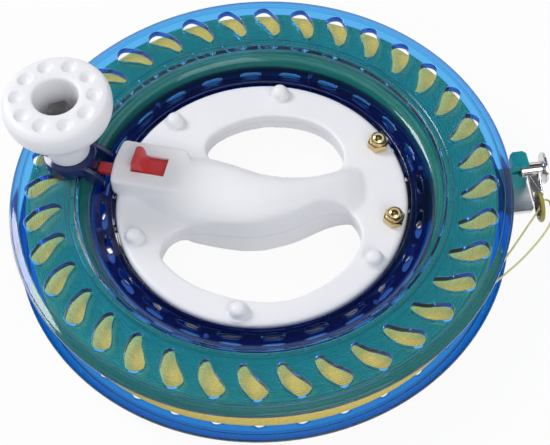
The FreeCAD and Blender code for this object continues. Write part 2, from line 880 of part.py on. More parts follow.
def acorn_nuts():
    nuts = []
    base_z = reel_mid_z + disc_half
    for place in arm_bolt_places():
        base = vec(place.x, place.y, base_z)
        body = hexagon_prism(nut_across_flats, nut_hex_height, base, 10.0)
        side = prism(nut_dome_radius, nut_dome_sides, 0.4 * nut_dome_height, base + vec(0, 0, nut_hex_height))
        dome = faceted_cone(nut_dome_radius, 0.45 * nut_dome_radius, nut_dome_sides,
                            0.6 * nut_dome_height, base + vec(0, 0, nut_hex_height + 0.4 * nut_dome_height))
        bore = Part.makeCylinder(arm_bolt_radius, nut_hex_height + 0.2, base)
        nuts.append(body.fuse([side, dome]).cut(bore))
    return Part.makeCompound(nuts)


def barrel_axis_point(radius):
    return vec(radius, barrel_offset, barrel_z)


def guide_block():
    low = vec(block_inner_radius, block_front, arm_thickness)
    high = vec(block_inner_radius + block_length, block_front + block_width, arm_thickness + block_height)
    body = box_between(low, high)
    corners = [edge for edge in body.Edges
               if edge.BoundBox.ZLength > 1.0 and edge.BoundBox.YMin > high.y - 0.01]
    body = body.makeChamfer(block_chamfer, corners)
    notch = Part.makeCylinder(barrel_radius + barrel_clearance, block_length,
                              barrel_axis_point(barrel_start_radius - barrel_clearance), vec(1, 0, 0))
    bore = Part.makeCylinder(pin_radius, block_length * 2.0,
                             barrel_axis_point(block_inner_radius - 1.0), vec(1, 0, 0))
    return turned(body.cut(Part.makeCompound([notch, bore])), guide_angle)


def guide_pin():
    """Pin with a wide domed head that holds the barrel on the block."""
    start = barrel_axis_point(block_inner_radius)
    reach = barrel_end_radius - block_inner_radius
    face = reach + pin_head_thickness
    body = spun([
        (0.0, 0.0),
        (pin_radius, 0.0),
        (pin_radius, reach),
        (pin_head_radius, reach),
        (pin_head_radius, face),
        (pin_head_flat_radius, face + pin_head_dome),
        (0.0, face + pin_head_dome),
    ])
    body.rotate(vec(0, 0, 0), vec(0, 1, 0), 90)
    return turned(moved(body, start), guide_angle)


def guide_barrel():
    start = barrel_axis_point(barrel_start_radius)
    length = barrel_end_radius - barrel_start_radius
    outer = Part.makeCylinder(barrel_radius, length, start, vec(1, 0, 0))
    inner = Part.makeCylinder(pin_radius, length, start, vec(1, 0, 0))
    return turned(outer.cut(inner), guide_angle)


def eye_centre():
    drop = math.radians(guide_drop_angle)
    hinge = barrel_axis_point(eye_station_radius)
    return hinge - vec(0, guide_reach * math.cos(drop), guide_reach * math.sin(drop))


def drop_direction():
    drop = math.radians(guide_drop_angle)
    return vec(0, -math.cos(drop), -math.sin(drop))


def cross_direction():
    drop = math.radians(guide_drop_angle)
    return vec(0, -math.sin(drop), math.cos(drop))


def guide_strap():
    """Flat stamped leg from the barrel to the eye."""
    along = drop_direction()
    across = vec(1, 0, 0)
    thick = cross_direction()
    hinge = barrel_axis_point(eye_station_radius) - thick * (strap_thickness / 2.0)
    root = hinge + along * (barrel_radius - 0.05)
    tip = hinge + along * (guide_reach - eye_radius - eye_section_radius + 0.3)
    points = [
        root - across * (strap_root_width / 2.0),
        root + across * (strap_root_width / 2.0),
        tip + across * (strap_tip_width / 2.0),
        tip - across * (strap_tip_width / 2.0),
    ]
    return turned(line_face(points).extrude(thick * strap_thickness), guide_angle)


def rod(start, end, radius):
    """Six sided wire between two points."""
    run = end - start
    wire = polygon_wire(radius, 6, vec(0, 0, 0))
    wire.Placement = FreeCAD.Placement(start, FreeCAD.Rotation(Z_AXIS, run))
    return Part.Face(wire).extrude(run)


def guide_legs():
    """Four wires in two V's, from the barrel's ends to the eye's sides."""
    along = drop_direction()
    across = cross_direction()
    centre = eye_centre()
    wires = []
    for station in (eye_station_radius - leg_station_offset, eye_station_radius + leg_station_offset):
        for side in (-1, 1):
            hinge = barrel_axis_point(station)
            start = hinge + along * (barrel_radius - 0.2) + across * (side * 1.2)
            angle = math.radians(leg_end_angle)
            end = centre - along * (eye_radius * math.cos(angle))
            end = end + across * (side * eye_radius * math.sin(angle))
            end = end + vec(math.copysign(0.5, station - eye_station_radius), 0, 0)
            wires.append(turned(rod(start, end, leg_wire_radius), guide_angle))
    return Part.makeCompound(wires)


def ring_about_x(section, centre):
    """Ring from (radius, along) points, its axis along X."""
    body = spun(section)
    body.rotate(vec(0, 0, 0), vec(0, 1, 0), 90)
    return turned(moved(body, centre), guide_angle)


def guide_eye():
    thick = eye_section_radius
    section = [(eye_radius + thick, -thick), (eye_radius + thick, thick),
               (eye_radius - thick, thick), (eye_radius - thick, -thick)]
    return ring_about_x(section, eye_centre())


def eye_insert():
    outer = eye_radius - eye_section_radius
    inner = eye_insert_bore_radius
    half = eye_insert_thickness / 2.0
    return ring_about_x([(outer, -half), (outer, half), (inner, half), (inner, -half)], eye_centre())


# Line

def line_core():
    low_z = reel_mid_z - plate_under
    high_z = reel_mid_z + plate_under
    return spun([(drum_radius, low_z), (wound_radius, low_z), (wound_radius, high_z), (drum_radius, high_z)])


def line_turns():
    """Outer layer of the winding: one unbroken run of the line, wound up the core."""
    pitch = 2.0 * plate_under / (outer_turns + 1.0)
    half = (pitch - turn_gap) / 2.0
    seat_radius = wound_radius - turn_seat
    low_z = reel_mid_z - outer_turns * pitch / 2.0

    def on_helix(turns):
        return polar(seat_radius, 360.0 * turns, low_z + pitch * turns)

    edges = []
    for i in range(4 * outer_turns):
        edges.append(arc(on_helix(i / 4.0), on_helix((i + 0.5) / 4.0), on_helix((i + 1) / 4.0)))
    path = Part.Wire(edges)
    start = on_helix(0.0)
    corners = [start + vec(turn_height, 0, 0), start + vec(0, 0, half), start + vec(0, 0, -half)]
    shell = Part.BRepOffsetAPI.MakePipeShell(path)
    shell.add(Part.makePolygon(corners + [corners[0]]))
    shell.build()
    shell.makeSolid()
    body = shell.shape()
    print("winding: turns", outer_turns, "least gap between turns", round(least_turn_gap(on_helix, half), 3))
    return body


def least_turn_gap(on_helix, half):
    """Least distance from one turn's upper side to the next turn's lower side, on points."""
    least = reel_height
    steps = 24
    for i in range(steps * (outer_turns - 1)):
        here = on_helix(i / steps) + vec(0, 0, half)
        for k in (-1, 0, 1):
            above = on_helix((i + k) / steps + 1.0) - vec(0, 0, half)
            least = min(least, (above - here).Length)
    return least


def rounded_route(points):
    """Straight runs joined by tangent arcs, as large as the runs allow."""
    spots = [vec(*point) for point in points]
    edges = []
    radii = []
    start = spots[0]
    for before, corner, after in zip(spots, spots[1:], spots[2:]):
        back = before - corner
        ahead = after - corner
        turn = math.pi - back.getAngle(ahead)
        reach = 0.45 * min(back.Length, ahead.Length)
        radius = reach / math.tan(turn / 2.0)
        radii.append(radius)
        entry = corner + back.normalize() * reach
        leave = corner + ahead.normalize() * reach
        inward = (back + ahead).normalize()
        middle = corner + inward * (radius / math.cos(turn / 2.0) - radius)
        edges.append(segment(start, entry))
        edges.append(arc(entry, middle, leave))
        start = leave
    edges.append(segment(start, spots[-1]))
    return Part.Wire(edges), radii


def free_line():
    path, radii = rounded_route(free_line_points)
    start = vec(*free_line_points[0])
    heading = vec(*free_line_points[1]) - start
    section = polygon_wire(line_radius, free_line_sides, vec(0, 0, 0))
    section.Placement = FreeCAD.Placement(start, FreeCAD.Rotation(Z_AXIS, heading))
    shell = Part.BRepOffsetAPI.MakePipeShell(path)
    shell.add(section)
    shell.build()
    shell.makeSolid()
    body = shell.shape()
    wanted = Part.Face(section).Area * path.Length
    print("free line: length", round(path.Length, 1), "radii", [round(r, 1) for r in radii])
    print("free line: volume", round(body.Volume, 2), "section times length", round(wanted, 2))
    return body


NODES = {
    "grip_top_shell": grip_top_shell,
    "grip_bottom_shell": grip_bottom_shell,
    "grip_shell_screws": shell_screws,
    "lock_slide": lock_slide,
    "ball_cage": ball_cage,
    "bearing_balls": bearing_balls,
    "upper_flange": upper_flange,
    "lower_flange": lower_flange,
    "flange_screws": flange_screws,
    "line_core": line_core,
    "line_outer_turns": line_turns,
    "winding_knob": knob,
    "knob_axle_bolt": axle_bolt,
    "knob_axle_washer": axle_washer,
    "knob_axle_insert": axle_insert,
    "guide_arm": guide_arm,
    "guide_arm_bolts": guide_arm_bolts,
    "guide_acorn_nuts": acorn_nuts,
    "guide_block": guide_block,
    "guide_pin": guide_pin,
    "guide_barrel": guide_barrel,
    "guide_strap": guide_strap,
    "guide_legs": guide_legs,
    "guide_eye": guide_eye,
    "guide_eye_insert": eye_insert,
    "free_line": free_line,
}

for node, make in NODES.items():
    save(node, make())
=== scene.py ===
import math
import random

import bmesh
import bpy
from mathutils import Matrix, Vector


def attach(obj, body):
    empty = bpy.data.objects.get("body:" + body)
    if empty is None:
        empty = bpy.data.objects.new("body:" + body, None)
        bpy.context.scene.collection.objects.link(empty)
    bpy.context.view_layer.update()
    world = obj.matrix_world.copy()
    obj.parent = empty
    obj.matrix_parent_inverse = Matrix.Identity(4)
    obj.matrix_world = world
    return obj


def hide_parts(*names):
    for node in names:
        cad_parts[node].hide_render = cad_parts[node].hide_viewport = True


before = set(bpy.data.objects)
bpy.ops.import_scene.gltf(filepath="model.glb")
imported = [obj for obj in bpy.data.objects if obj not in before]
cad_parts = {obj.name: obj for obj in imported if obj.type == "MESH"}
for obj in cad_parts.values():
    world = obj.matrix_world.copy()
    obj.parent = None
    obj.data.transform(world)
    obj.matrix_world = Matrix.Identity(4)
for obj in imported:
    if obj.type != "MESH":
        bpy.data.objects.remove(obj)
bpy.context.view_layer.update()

# Camera
# The winder is seen from its front edge and well above, through a 93 mm lens about 0.64 m away.
# The camera's place and turn were fitted to the outlines of the rim and the grip.
scene = bpy.context.scene
camera_place = Vector((0.005391, -0.358124, 0.535650))
camera_right = Vector((0.99820, -0.04982, -0.03339))
camera_up = Vector((0.05997, 0.82920, 0.55573))
camera_data = bpy.data.cameras.new("camera")
camera_data.lens = 92.91
camera_data.sensor_width = 36.0
camera_turn = Matrix((camera_right, camera_up, camera_right.cross(camera_up))).transposed()
camera = bpy.data.objects.new("camera", camera_data)
camera.matrix_world = Matrix.Translation(camera_place) @ camera_turn.to_4x4()
scene.collection.objects.link(camera)
scene.camera = camera


# Free line
# The end of the kite line: thin pale yellow braid that leaves the winding, goes through the
# guide's eye and comes back to the winding. It lies slack between them.
free_line_route = [
    (0.0930, -0.0486, 0.0136),
    (0.1032, -0.0352, 0.0134),
    (0.1116, -0.0236, 0.0120),
    (0.1176, -0.0146, 0.0098),
    (0.1218, -0.0084, 0.0078),
    (0.1246, -0.0036, 0.0070),
    (0.1270, -0.0002, 0.0073),
    (0.1290, -0.0016, 0.0079),
    (0.1289, -0.0060, 0.0083),
    (0.1286, -0.0114, 0.0089),
    (0.1256, -0.0176, 0.0099),
    (0.1186, -0.0266, 0.0114),
    (0.1070, -0.0392, 0.0138),
    (0.0906, -0.0528, 0.0166),
]
line_radius = 0.00045


def new_material(name):
    """Empty material with its output and one Principled shader."""
    material = bpy.data.materials.new(name)
    material.use_nodes = True
    tree = material.node_tree
    shader = tree.nodes["Principled BSDF"]
    return material, tree, shader


def add_node(tree, kind, values=None, operation=None):
    """New shader node with plain values on its inputs. A Mix node mixes colours."""
    node = tree.nodes.new("ShaderNode" + kind)
    if operation:
        node.operation = operation
    if kind == "Mix":
        node.data_type = "RGBA"
    for name, value in (values or {}).items():
        node.inputs[name].default_value = value
    return node


def wire(tree, source, output, target, entry):
    """Joins one node's output to another's input."""
    tree.links.new(source.outputs[output], target.inputs[entry])


def object_place(tree, scale=(1.0, 1.0, 1.0)):
    """Object coordinates through a Mapping node, so that a pattern can be stretched."""
    place = add_node(tree, "TexCoord")
    mapping = add_node(tree, "Mapping", {"Scale": scale})
    wire(tree, place, "Object", mapping, "Vector")
    return mapping


def skin_group():
    """Tone patches, a roughness that follows them, and fine grain, for any surface."""
    group = bpy.data.node_groups.new("surface_skin", "ShaderNodeTree")
    face = group.interface
    face.new_socket(name="Place", in_out="INPUT", socket_type="NodeSocketVector")
    for name in ("Colour", "Shade"):
        face.new_socket(name=name, in_out="INPUT", socket_type="NodeSocketColor")
    for name in ("Patch Scale", "Grain Scale", "Smooth", "Rough"):
        face.new_socket(name=name, in_out="INPUT", socket_type="NodeSocketFloat")
    face.new_socket(name="Colour", in_out="OUTPUT", socket_type="NodeSocketColor")
    for name in ("Roughness", "Height"):
        face.new_socket(name=name, in_out="OUTPUT", socket_type="NodeSocketFloat")
    given = group.nodes.new("NodeGroupInput")
    result = group.nodes.new("NodeGroupOutput")
    patch = add_node(group, "TexNoise", {"Detail": 4.0})
    grain = add_node(group, "TexNoise", {"Detail": 3.0})
    spread = add_node(group, "MapRange", {"From Min": 0.35, "From Max": 0.65})
    tone = add_node(group, "Mix")
    rough = add_node(group, "MapRange")
    wire(group, given, "Place", patch, "Vector")
    wire(group, given, "Place", grain, "Vector")
    wire(group, given, "Patch Scale", patch, "Scale")
    wire(group, given, "Grain Scale", grain, "Scale")
    wire(group, patch, "Fac", spread, "Value")
    wire(group, spread, "Result", tone, "Factor")
    wire(group, given, "Colour", tone, "A")
    wire(group, given, "Shade", tone, "B")
    wire(group, spread, "Result", rough, "Value")
    wire(group, given, "Smooth", rough, "To Min")
    wire(group, given, "Rough", rough, "To Max")
    wire(group, tone, "Result", result, "Colour")
    wire(group, rough, "Result", result, "Roughness")
    wire(group, grain, "Fac", result, "Height")
    return group


surface_skin = skin_group()
grain_depth = 0.0002


def add_skin(tree, shader, colour, shade, patch, grain, smooth, rough, bump, stretch=(1.0, 1.0, 1.0)):
    """Places the skin group in a material and feeds the shader from it."""
    skin = tree.nodes.new("ShaderNodeGroup")
    skin.node_tree = surface_skin
    for name, value in (("Colour", (*colour, 1.0)), ("Shade", (*shade, 1.0)), ("Patch Scale", patch),
                        ("Grain Scale", grain), ("Smooth", smooth), ("Rough", rough)):
        skin.inputs[name].default_value = value
    relief = add_node(tree, "Bump", {"Strength": bump, "Distance": grain_depth})
    wire(tree, object_place(tree, stretch), "Vector", skin, "Place")
    wire(tree, skin, "Colour", shader, "Base Color")
    wire(tree, skin, "Roughness", shader, "Roughness")
    wire(tree, skin, "Height", relief, "Height")
    wire(tree, relief, "Normal", shader, "Normal")


def line_braid(name, colour, shade):
    """Braided line: fine mottle, no gloss."""
    material, tree, shader = new_material(name)
    add_skin(tree, shader, colour, shade, 1500.0, 3200.0, 0.5, 0.7, 0.35)
    shader.inputs["Sheen Weight"].default_value = 0.15
    return material


line_yellow = line_braid("line_braid", (0.86, 0.72, 0.20), (0.74, 0.58, 0.12))
line_pale = line_braid("line_braid_pale", (0.88, 0.86, 0.36), (0.78, 0.74, 0.26))


def tube_curve(name, points, radius, sides_level, kind):
    """Curve object with a round section along the points."""
    curve = bpy.data.curves.new(name, "CURVE")
    curve.dimensions = "3D"
    curve.bevel_depth = radius
    curve.bevel_resolution = sides_level
    curve.use_fill_caps = True
    spline = curve.splines.new(kind)
    spline.points.add(len(points) - 1)
    for spot, point in zip(spline.points, points):
        spot.co = (*point, 1.0)
    if kind == "NURBS":
        spline.order_u = 3
        spline.use_endpoint_u = True
        spline.resolution_u = 10
    tube = bpy.data.objects.new(name, curve)
    scene.collection.objects.link(tube)
    return tube


free_line = tube_curve("free_line_end", free_line_route, line_radius, 3, "NURBS")
free_line.data.materials.append(line_pale)
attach(free_line, "handle")
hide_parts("free_line")


# Wound line
# Layers of the same braid fill the reel. The turns that show are one continuous line, wound on
# a core of hidden turns that shows green through the well's wall behind it.
wound_inner = 84.7
wound_outer = 102.8
wound_low = 5.55
wound_high = 25.3
wound_pitch = 0.96
wound_steps = 90
wander_radius = 0.1
wander_height = 0.08
round_steps = 144
core_outline = [(84.15, 5.4), (102.6, 5.4), (102.6, 25.5), (81.4, 25.5), (79.3, 21.9), (76.6, 19.2),
                (76.6, 13.8), (79.3, 11.1), (81.4, 7.5)]
MM = 0.001


def wound_route():
    """Out along the lower side, up round the outside, in along the upper side, in millimetres."""
    wander = random.Random(4)
    side_turns = int((wound_outer - wound_inner) / wound_pitch)
    rise_turns = int((wound_high - wound_low) / wound_pitch)
    stations = [(wound_inner + wound_pitch * i, wound_low) for i in range(side_turns + 1)]
    stations += [(wound_outer + 0.15, wound_low + wound_pitch * (i + 1)) for i in range(rise_turns)]
    stations += [(wound_outer - wound_pitch * (i + 0.6), wound_high) for i in range(side_turns)]
    loose = [(r + wander.uniform(-wander_radius, wander_radius),
              z + wander.uniform(-wander_height, wander_height)) for r, z in stations]
    route = []
    for (r0, z0), (r1, z1) in zip(loose, loose[1:]):
        for k in range(wound_steps):
            share = k / wound_steps
            angle = 2.0 * math.pi * share
            radius = r0 + (r1 - r0) * share
            height = z0 + (z1 - z0) * share
            route.append((radius * math.cos(angle) * MM, radius * math.sin(angle) * MM, height * MM))
    return route


def new_piece(name, mesh, material):
    """Smooth piece in one material."""
    mesh.polygons.foreach_set("use_smooth", [True] * len(mesh.polygons))
    mesh.materials.clear()
    mesh.materials.append(material)
    piece = bpy.data.objects.new(name, mesh)
    scene.collection.objects.link(piece)
    return piece


def as_mesh_piece(tube, material):
    """The same tube as a mesh piece."""
    mesh = bpy.data.meshes.new_from_object(tube)
    name = tube.name
    bpy.data.objects.remove(tube)
    return new_piece(name, mesh, material)


def finish_piece(name, bm, material, crease=35.0):
    """Turns a closed mesh drawn in millimetres into a piece in metres that faces outwards."""
    bmesh.ops.remove_doubles(bm, verts=bm.verts, dist=0.0005)
    bmesh.ops.recalc_face_normals(bm, faces=bm.faces)
    bmesh.ops.scale(bm, vec=(MM, MM, MM), verts=bm.verts)
    mesh = bpy.data.meshes.new(name)
    bm.to_mesh(mesh)
    bm.free()
    piece = new_piece(name, mesh, material)
    mesh.set_sharp_from_angle(angle=math.radians(crease))
    return piece


def lathe(bm, profile, steps, start=0.0, closed=False):
    """Spins (radius, z) points once round Z."""
    turn = math.radians(start)
    verts = [bm.verts.new((r * math.cos(turn), r * math.sin(turn), z)) for r, z in profile]
    pairs = list(zip(verts, verts[1:]))
    if closed:
        pairs.append((verts[-1], verts[0]))
    edges = [bm.edges.new(pair) for pair in pairs]
    bmesh.ops.spin(bm, geom=verts + edges, cent=(0, 0, 0), axis=(0, 0, 1), dvec=(0, 0, 0),
                   angle=2.0 * math.pi, steps=steps, use_merge=True, use_duplicate=False)


wound_line = as_mesh_piece(tube_curve("wound_line", wound_route(), line_radius, 1, "POLY"), line_yellow)
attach(wound_line, "reel")
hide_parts("line_outer_turns")

core_mesh = bmesh.new()
lathe(core_mesh, core_outline, round_steps, closed=True)
wound_core = finish_piece("wound_core", core_mesh, line_yellow)
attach(wound_core, "reel")
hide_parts("line_core")


# Flange mouldings
# Two alike injection mouldings in clear blue plastic: a windowed ring, a bevelled rim, and the
# slotted floor and the wall of the well. They meet at mid height and are screwed together.
reel_mid = 16.5
face_z = 30.5
under_z = 27.0
rim_radius = 110.0
ring_outer = 106.0
ring_inner = 84.0
floor_outer = 73.6
floor_inner = 68.2
floor_top = 22.0
floor_under = 19.8
drop_count = 36
drop_first = 2.4
drop_inner = 86.3
drop_lean = 2.8
drop_outline = [(-1.34, 2.6), (-0.96, 6.65), (0.57, 11.3), (3.6, 14.7), (5.9, 16.8), (7.85, 17.2),
                (10.5, 15.9), (12.3, 13.3), (11.7, 11.3), (9.0, 8.7), (5.2, 5.5), (2.9, 2.0), (1.3, 0.0)]
slot_count = 24
slot_first = 1.5
slot_outline = [(-4.9, 68.9), (-4.9, 71.5), (4.9, 71.5), (4.9, 68.9)]
sector_start = drop_first + drop_lean - 180.0 / drop_count
slot_sector = sector_start - 180.0 / slot_count
rib_size = (2.0, 0.6, 0.5)
rib_place = (82.6, 0, 30.37)
edge_round = 0.00022


def rounded_loop(points, rounds):
    """Cuts the corners of a closed outline, a quarter of each side at a time."""
    for _ in range(rounds):
        softer = []
        for (x0, y0), (x1, y1) in zip(points, points[1:] + points[:1]):
            softer.append((0.75 * x0 + 0.25 * x1, 0.75 * y0 + 0.25 * y1))
            softer.append((0.25 * x0 + 0.75 * x1, 0.25 * y0 + 0.75 * y1))
        points = softer
    return points


def closed_edges(bm, points):
    """Joins points into a closed loop of edges."""
    verts = [bm.verts.new(point) for point in points]
    return [bm.edges.new(pair) for pair in zip(verts, verts[1:] + verts[:1])]


def join_into(bm, other):
    """Adds another mesh under construction to this one."""
    scratch = bpy.data.meshes.new("scratch")
    other.to_mesh(scratch)
    other.free()
    bm.from_mesh(scratch)
    bpy.data.meshes.remove(scratch)


def verts_of(result):
    """The corners among what an operator made."""
    return [item for item in result["geom"] if isinstance(item, bmesh.types.BMVert)]


def repeat_round(bm, count):
    """Copies what is drawn to make a full row round the reel."""
    bmesh.ops.spin(bm, geom=bm.verts[:] + bm.edges[:] + bm.faces[:], cent=(0, 0, 0), axis=(0, 0, 1),
                   dvec=(0, 0, 0), angle=math.radians(360.0 - 360.0 / count), steps=count - 1,
                   use_merge=False, use_duplicate=True)


def windowed_ring(inner, outer, top, under, count, start, window):
    """Flat ring with a row of windows: one sector is filled round its window and repeated.
    The inner and outer edges stay open for the mouldings beside it."""
    ring = bmesh.new()
    steps = round_steps // count
    border = []
    for radius, order in ((inner, range(steps + 1)), (outer, range(steps, -1, -1))):
        for k in order:
            angle = math.radians(start + 360.0 / count * k / steps)
            border.append((radius * math.cos(angle), radius * math.sin(angle), top))
    edges = closed_edges(ring, border)
    edges += closed_edges(ring, [(x, y, top) for x, y in window])
    bmesh.ops.triangle_fill(ring, use_beauty=True, use_dissolve=False, edges=edges, normal=(0, 0, 1))
    repeat_round(ring, count)
    bmesh.ops.remove_doubles(ring, verts=ring.verts, dist=0.001)
    rims = []
    for edge in ring.edges:
        middle = (edge.verts[0].co + edge.verts[1].co) / 2.0
        if len(edge.link_faces) == 1 and inner + 0.2 < middle.xy.length < outer - 0.2:
            rims.append(edge)
    sheet = ring.faces[:]
    walls = bmesh.ops.extrude_edge_only(ring, edges=rims)
    bmesh.ops.translate(ring, vec=(0, 0, under - top), verts=verts_of(walls))
    copy = bmesh.ops.duplicate(ring, geom=sheet)
    bmesh.ops.translate(ring, vec=(0, 0, under - top), verts=verts_of(copy))
    bmesh.ops.remove_doubles(ring, verts=ring.verts, dist=0.001)
    return ring


def turned_outline(points, angle):
    """Puts (across, out) points at an angle round the reel."""
    turn = math.radians(angle)
    spun = []
    for across, out in points:
        spun.append((out * math.cos(turn) - across * math.sin(turn),
                     out * math.sin(turn) + across * math.cos(turn)))
    return spun


def flange_mesh():
    """The upper moulding, in millimetres."""
    drops = [(across, drop_inner + out) for across, out in drop_outline]
    drop = turned_outline(rounded_loop(drops, 2), drop_first)
    slot = turned_outline(rounded_loop(slot_outline, 1), slot_first)
    bm = windowed_ring(ring_inner, ring_outer, face_z, under_z, drop_count, sector_start, drop)
    join_into(bm, windowed_ring(floor_inner, floor_outer, floor_top, floor_under, slot_count, slot_sector, slot))
    rim = [(ring_outer, face_z), (106.1, 29.85), (106.7, 29.75), (108.9, 29.05), (109.1, 28.75),
           (rim_radius, 28.5), (rim_radius, under_z), (ring_outer, under_z)]
    lip = [(ring_inner, face_z), (83.7, 30.1), (81.5, 30.1), (81.1, 30.5), (80.6, 30.4), (80.1, 29.4),
           (79.5, 26.6), (78.4, 24.3), (76.8, 22.8), (75.2, 22.1), (floor_outer, floor_top)]
    wall_back = [(floor_outer, floor_under), (76.2, 20.0), (78.6, 22.2), (80.6, 25.6), (81.4, under_z),
                 (ring_inner, under_z)]
    race = [(floor_inner, floor_top), (66.3, floor_top), (66.0, 21.7), (66.0, 18.2), (67.6, reel_mid + 0.1),
            (floor_inner, reel_mid + 0.1), (floor_inner, floor_under)]
    for profile in (rim, lip, wall_back, race):
        lathe(bm, profile, round_steps, sector_start)
    rib = bmesh.new()
    bmesh.ops.create_cube(rib, size=1.0)
    bmesh.ops.scale(rib, vec=rib_size, verts=rib.verts)
    bmesh.ops.translate(rib, vec=rib_place, verts=rib.verts)
    repeat_round(rib, drop_count)
    join_into(bm, rib)
    return bm


def fill_ramp(ramp, stops):
    """Gives a colour ramp its (position, colour) stops."""
    elements = ramp.color_ramp.elements
    while len(elements) < len(stops):
        elements.new(0.5)
    for stop, (position, colour) in zip(elements, stops):
        stop.position = position
        stop.color = (*colour, 1.0)


def blue_plastic(name, depth, dim):
    """Clear blue plastic. The tint is deeper where light goes a long way through it: at the well, at the bevelled
    rim and in upright walls; at the well it is also darker as painted shade for the shaded table seen through it.
    The lower moulding lies on the table, and its copy is deepened by depth and dimmed by dim as painted shade, for
    the blue shadow the table has under it."""
    material, tree, shader = new_material(name)
    place = object_place(tree)
    flat = add_node(tree, "VectorMath", {1: (1.0, 1.0, 0.0)}, "MULTIPLY")
    length = add_node(tree, "VectorMath", operation="LENGTH")
    reach = add_node(tree, "MapRange", {"From Min": 0.064, "From Max": 0.110})
    tint = add_node(tree, "ValToRGB")
    # The first two stops, over the well's floor and race, are navy partly as painted shade for the shaded table
    # seen through the well.
    bands = [
        (0.00, (0.028, 0.080, 0.34)),
        (0.21, (0.030, 0.090, 0.38)),
        (0.25, (0.08, 0.40, 0.70)),
        (0.352, (0.12, 0.50, 0.80)),
        (0.358, (0.03, 0.20, 0.52)),
        (0.374, (0.03, 0.20, 0.52)),
        (0.380, (0.12, 0.50, 0.82)),
        (0.422, (0.12, 0.50, 0.82)),
        (0.428, (0.03, 0.22, 0.56)),
        (0.438, (0.03, 0.22, 0.56)),
        (0.446, (0.08, 0.45, 0.90)),
        (0.900, (0.12, 0.49, 0.92)),
        (0.906, (0.04, 0.28, 0.68)),
        (0.914, (0.04, 0.28, 0.68)),
        (0.922, (0.07, 0.40, 0.84)),
        (0.975, (0.04, 0.30, 0.74)),
    ]
    fill_ramp(tint, [(position, [dim * part ** depth for part in colour]) for position, colour in bands])
    wire(tree, place, "Vector", flat, 0)
    wire(tree, flat, "Vector", length, 0)
    wire(tree, length, "Value", reach, "Value")
    wire(tree, reach, "Result", tint, "Fac")
    ripple = add_node(tree, "TexNoise", {"Scale": 90.0, "Detail": 2.0})
    relief = add_node(tree, "Bump", {"Strength": 0.06, "Distance": 0.0006})
    wire(tree, place, "Vector", ripple, "Vector")
    wire(tree, ripple, "Fac", relief, "Height")
    facing = add_node(tree, "NewGeometry")
    upright = add_node(tree, "SeparateXYZ")
    level = add_node(tree, "Math", operation="ABSOLUTE")
    wall = add_node(tree, "MapRange", {"From Min": 0.25, "From Max": 0.80, "To Min": 1.0, "To Max": 0.0})
    outside = add_node(tree, "Math", {1: 0.45}, "GREATER_THAN")
    masked = add_node(tree, "Math", operation="MULTIPLY")
    deeper = add_node(tree, "Mix", {"B": (0.008, 0.035, 0.34, 1.0)})
    wire(tree, facing, "Normal", upright, "Vector")
    wire(tree, upright, "Z", level, 0)
    wire(tree, level, "Value", wall, "Value")
    wire(tree, reach, "Result", outside, 0)
    wire(tree, wall, "Result", masked, 0)
    wire(tree, outside, "Value", masked, 1)
    wire(tree, masked, "Value", deeper, "Factor")
    wire(tree, tint, "Color", deeper, "A")
    wire(tree, deeper, "Result", shader, "Base Color")
    wire(tree, relief, "Normal", shader, "Normal")
    shader.inputs["Roughness"].default_value = 0.06
    shader.inputs["IOR"].default_value = 1.49
    shader.inputs["Transmission Weight"].default_value = 0.99
    lighter = add_node(tree, "Mix", {"Factor": 0.3, "B": (1.0, 1.0, 1.0, 1.0)})
    clear = add_node(tree, "BsdfTransparent")
    rays = add_node(tree, "LightPath")
    mix = add_node(tree, "MixShader")
    wire(tree, tint, "Color", lighter, "A")
    wire(tree, lighter, "Result", clear, "Color")
    wire(tree, rays, "Is Shadow Ray", mix, "Fac")
    wire(tree, shader, "BSDF", mix, 1)
    wire(tree, clear, "BSDF", mix, 2)
    wire(tree, mix, "Shader", tree.nodes["Material Output"], "Surface")
    return material


def soft_edges(piece, width, segments=2, angle=40.0):
    """Rounds a piece's sharp edges."""
    bevel = piece.modifiers.new("edges", "BEVEL")
    bevel.width = width
    bevel.segments = segments
    bevel.limit_method = "ANGLE"
    bevel.angle_limit = math.radians(angle)


upper_mesh = flange_mesh()
upper_flange = finish_piece("upper_flange_moulding", upper_mesh, blue_plastic("clear_blue_plastic", 1.0, 1.0))
soft_edges(upper_flange, edge_round)
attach(upper_flange, "reel")
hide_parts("upper_flange")

lower_mesh = flange_mesh()
bmesh.ops.translate(lower_mesh, vec=(0, 0, -reel_mid), verts=lower_mesh.verts)
bmesh.ops.scale(lower_mesh, vec=(1, 1, -1), verts=lower_mesh.verts)
bmesh.ops.translate(lower_mesh, vec=(0, 0, reel_mid), verts=lower_mesh.verts)
# The lower moulding's copy is deeper and dimmer as painted shade for the blue shadow on the table beneath it.
lower_painted_shade_plastic = blue_plastic("clear_blue_plastic_low_painted_shade", 1.7, 0.75)
lower_flange = finish_piece("lower_flange_moulding", lower_mesh, lower_painted_shade_plastic)
soft_edges(lower_flange, edge_round)
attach(lower_flange, "reel")
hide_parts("lower_flange")


# Knob boss
# A raised pad of the upper flange moulding under the winding knob, with two webs that run
# down into the well. It is thick plastic, so it looks nearly navy.
knob_angle = 164.5
knob_circle = 87.0
boss_outline = [(0.0, 27.3), (12.2, 27.3), (12.2, 32.8), (11.9, 33.6), (11.2, 34.0), (0.0, 34.0)]
web_spread = 7.0
web_thickness = 2.2
web_outline = [(69.9, 21.8), (69.9, 25.6), (71.6, 27.4), (74.6, 30.2), (77.2, 32.4), (83.0, 33.6),
               (83.0, 29.0), (80.0, 28.4), (78.2, 24.6), (75.4, 21.8)]


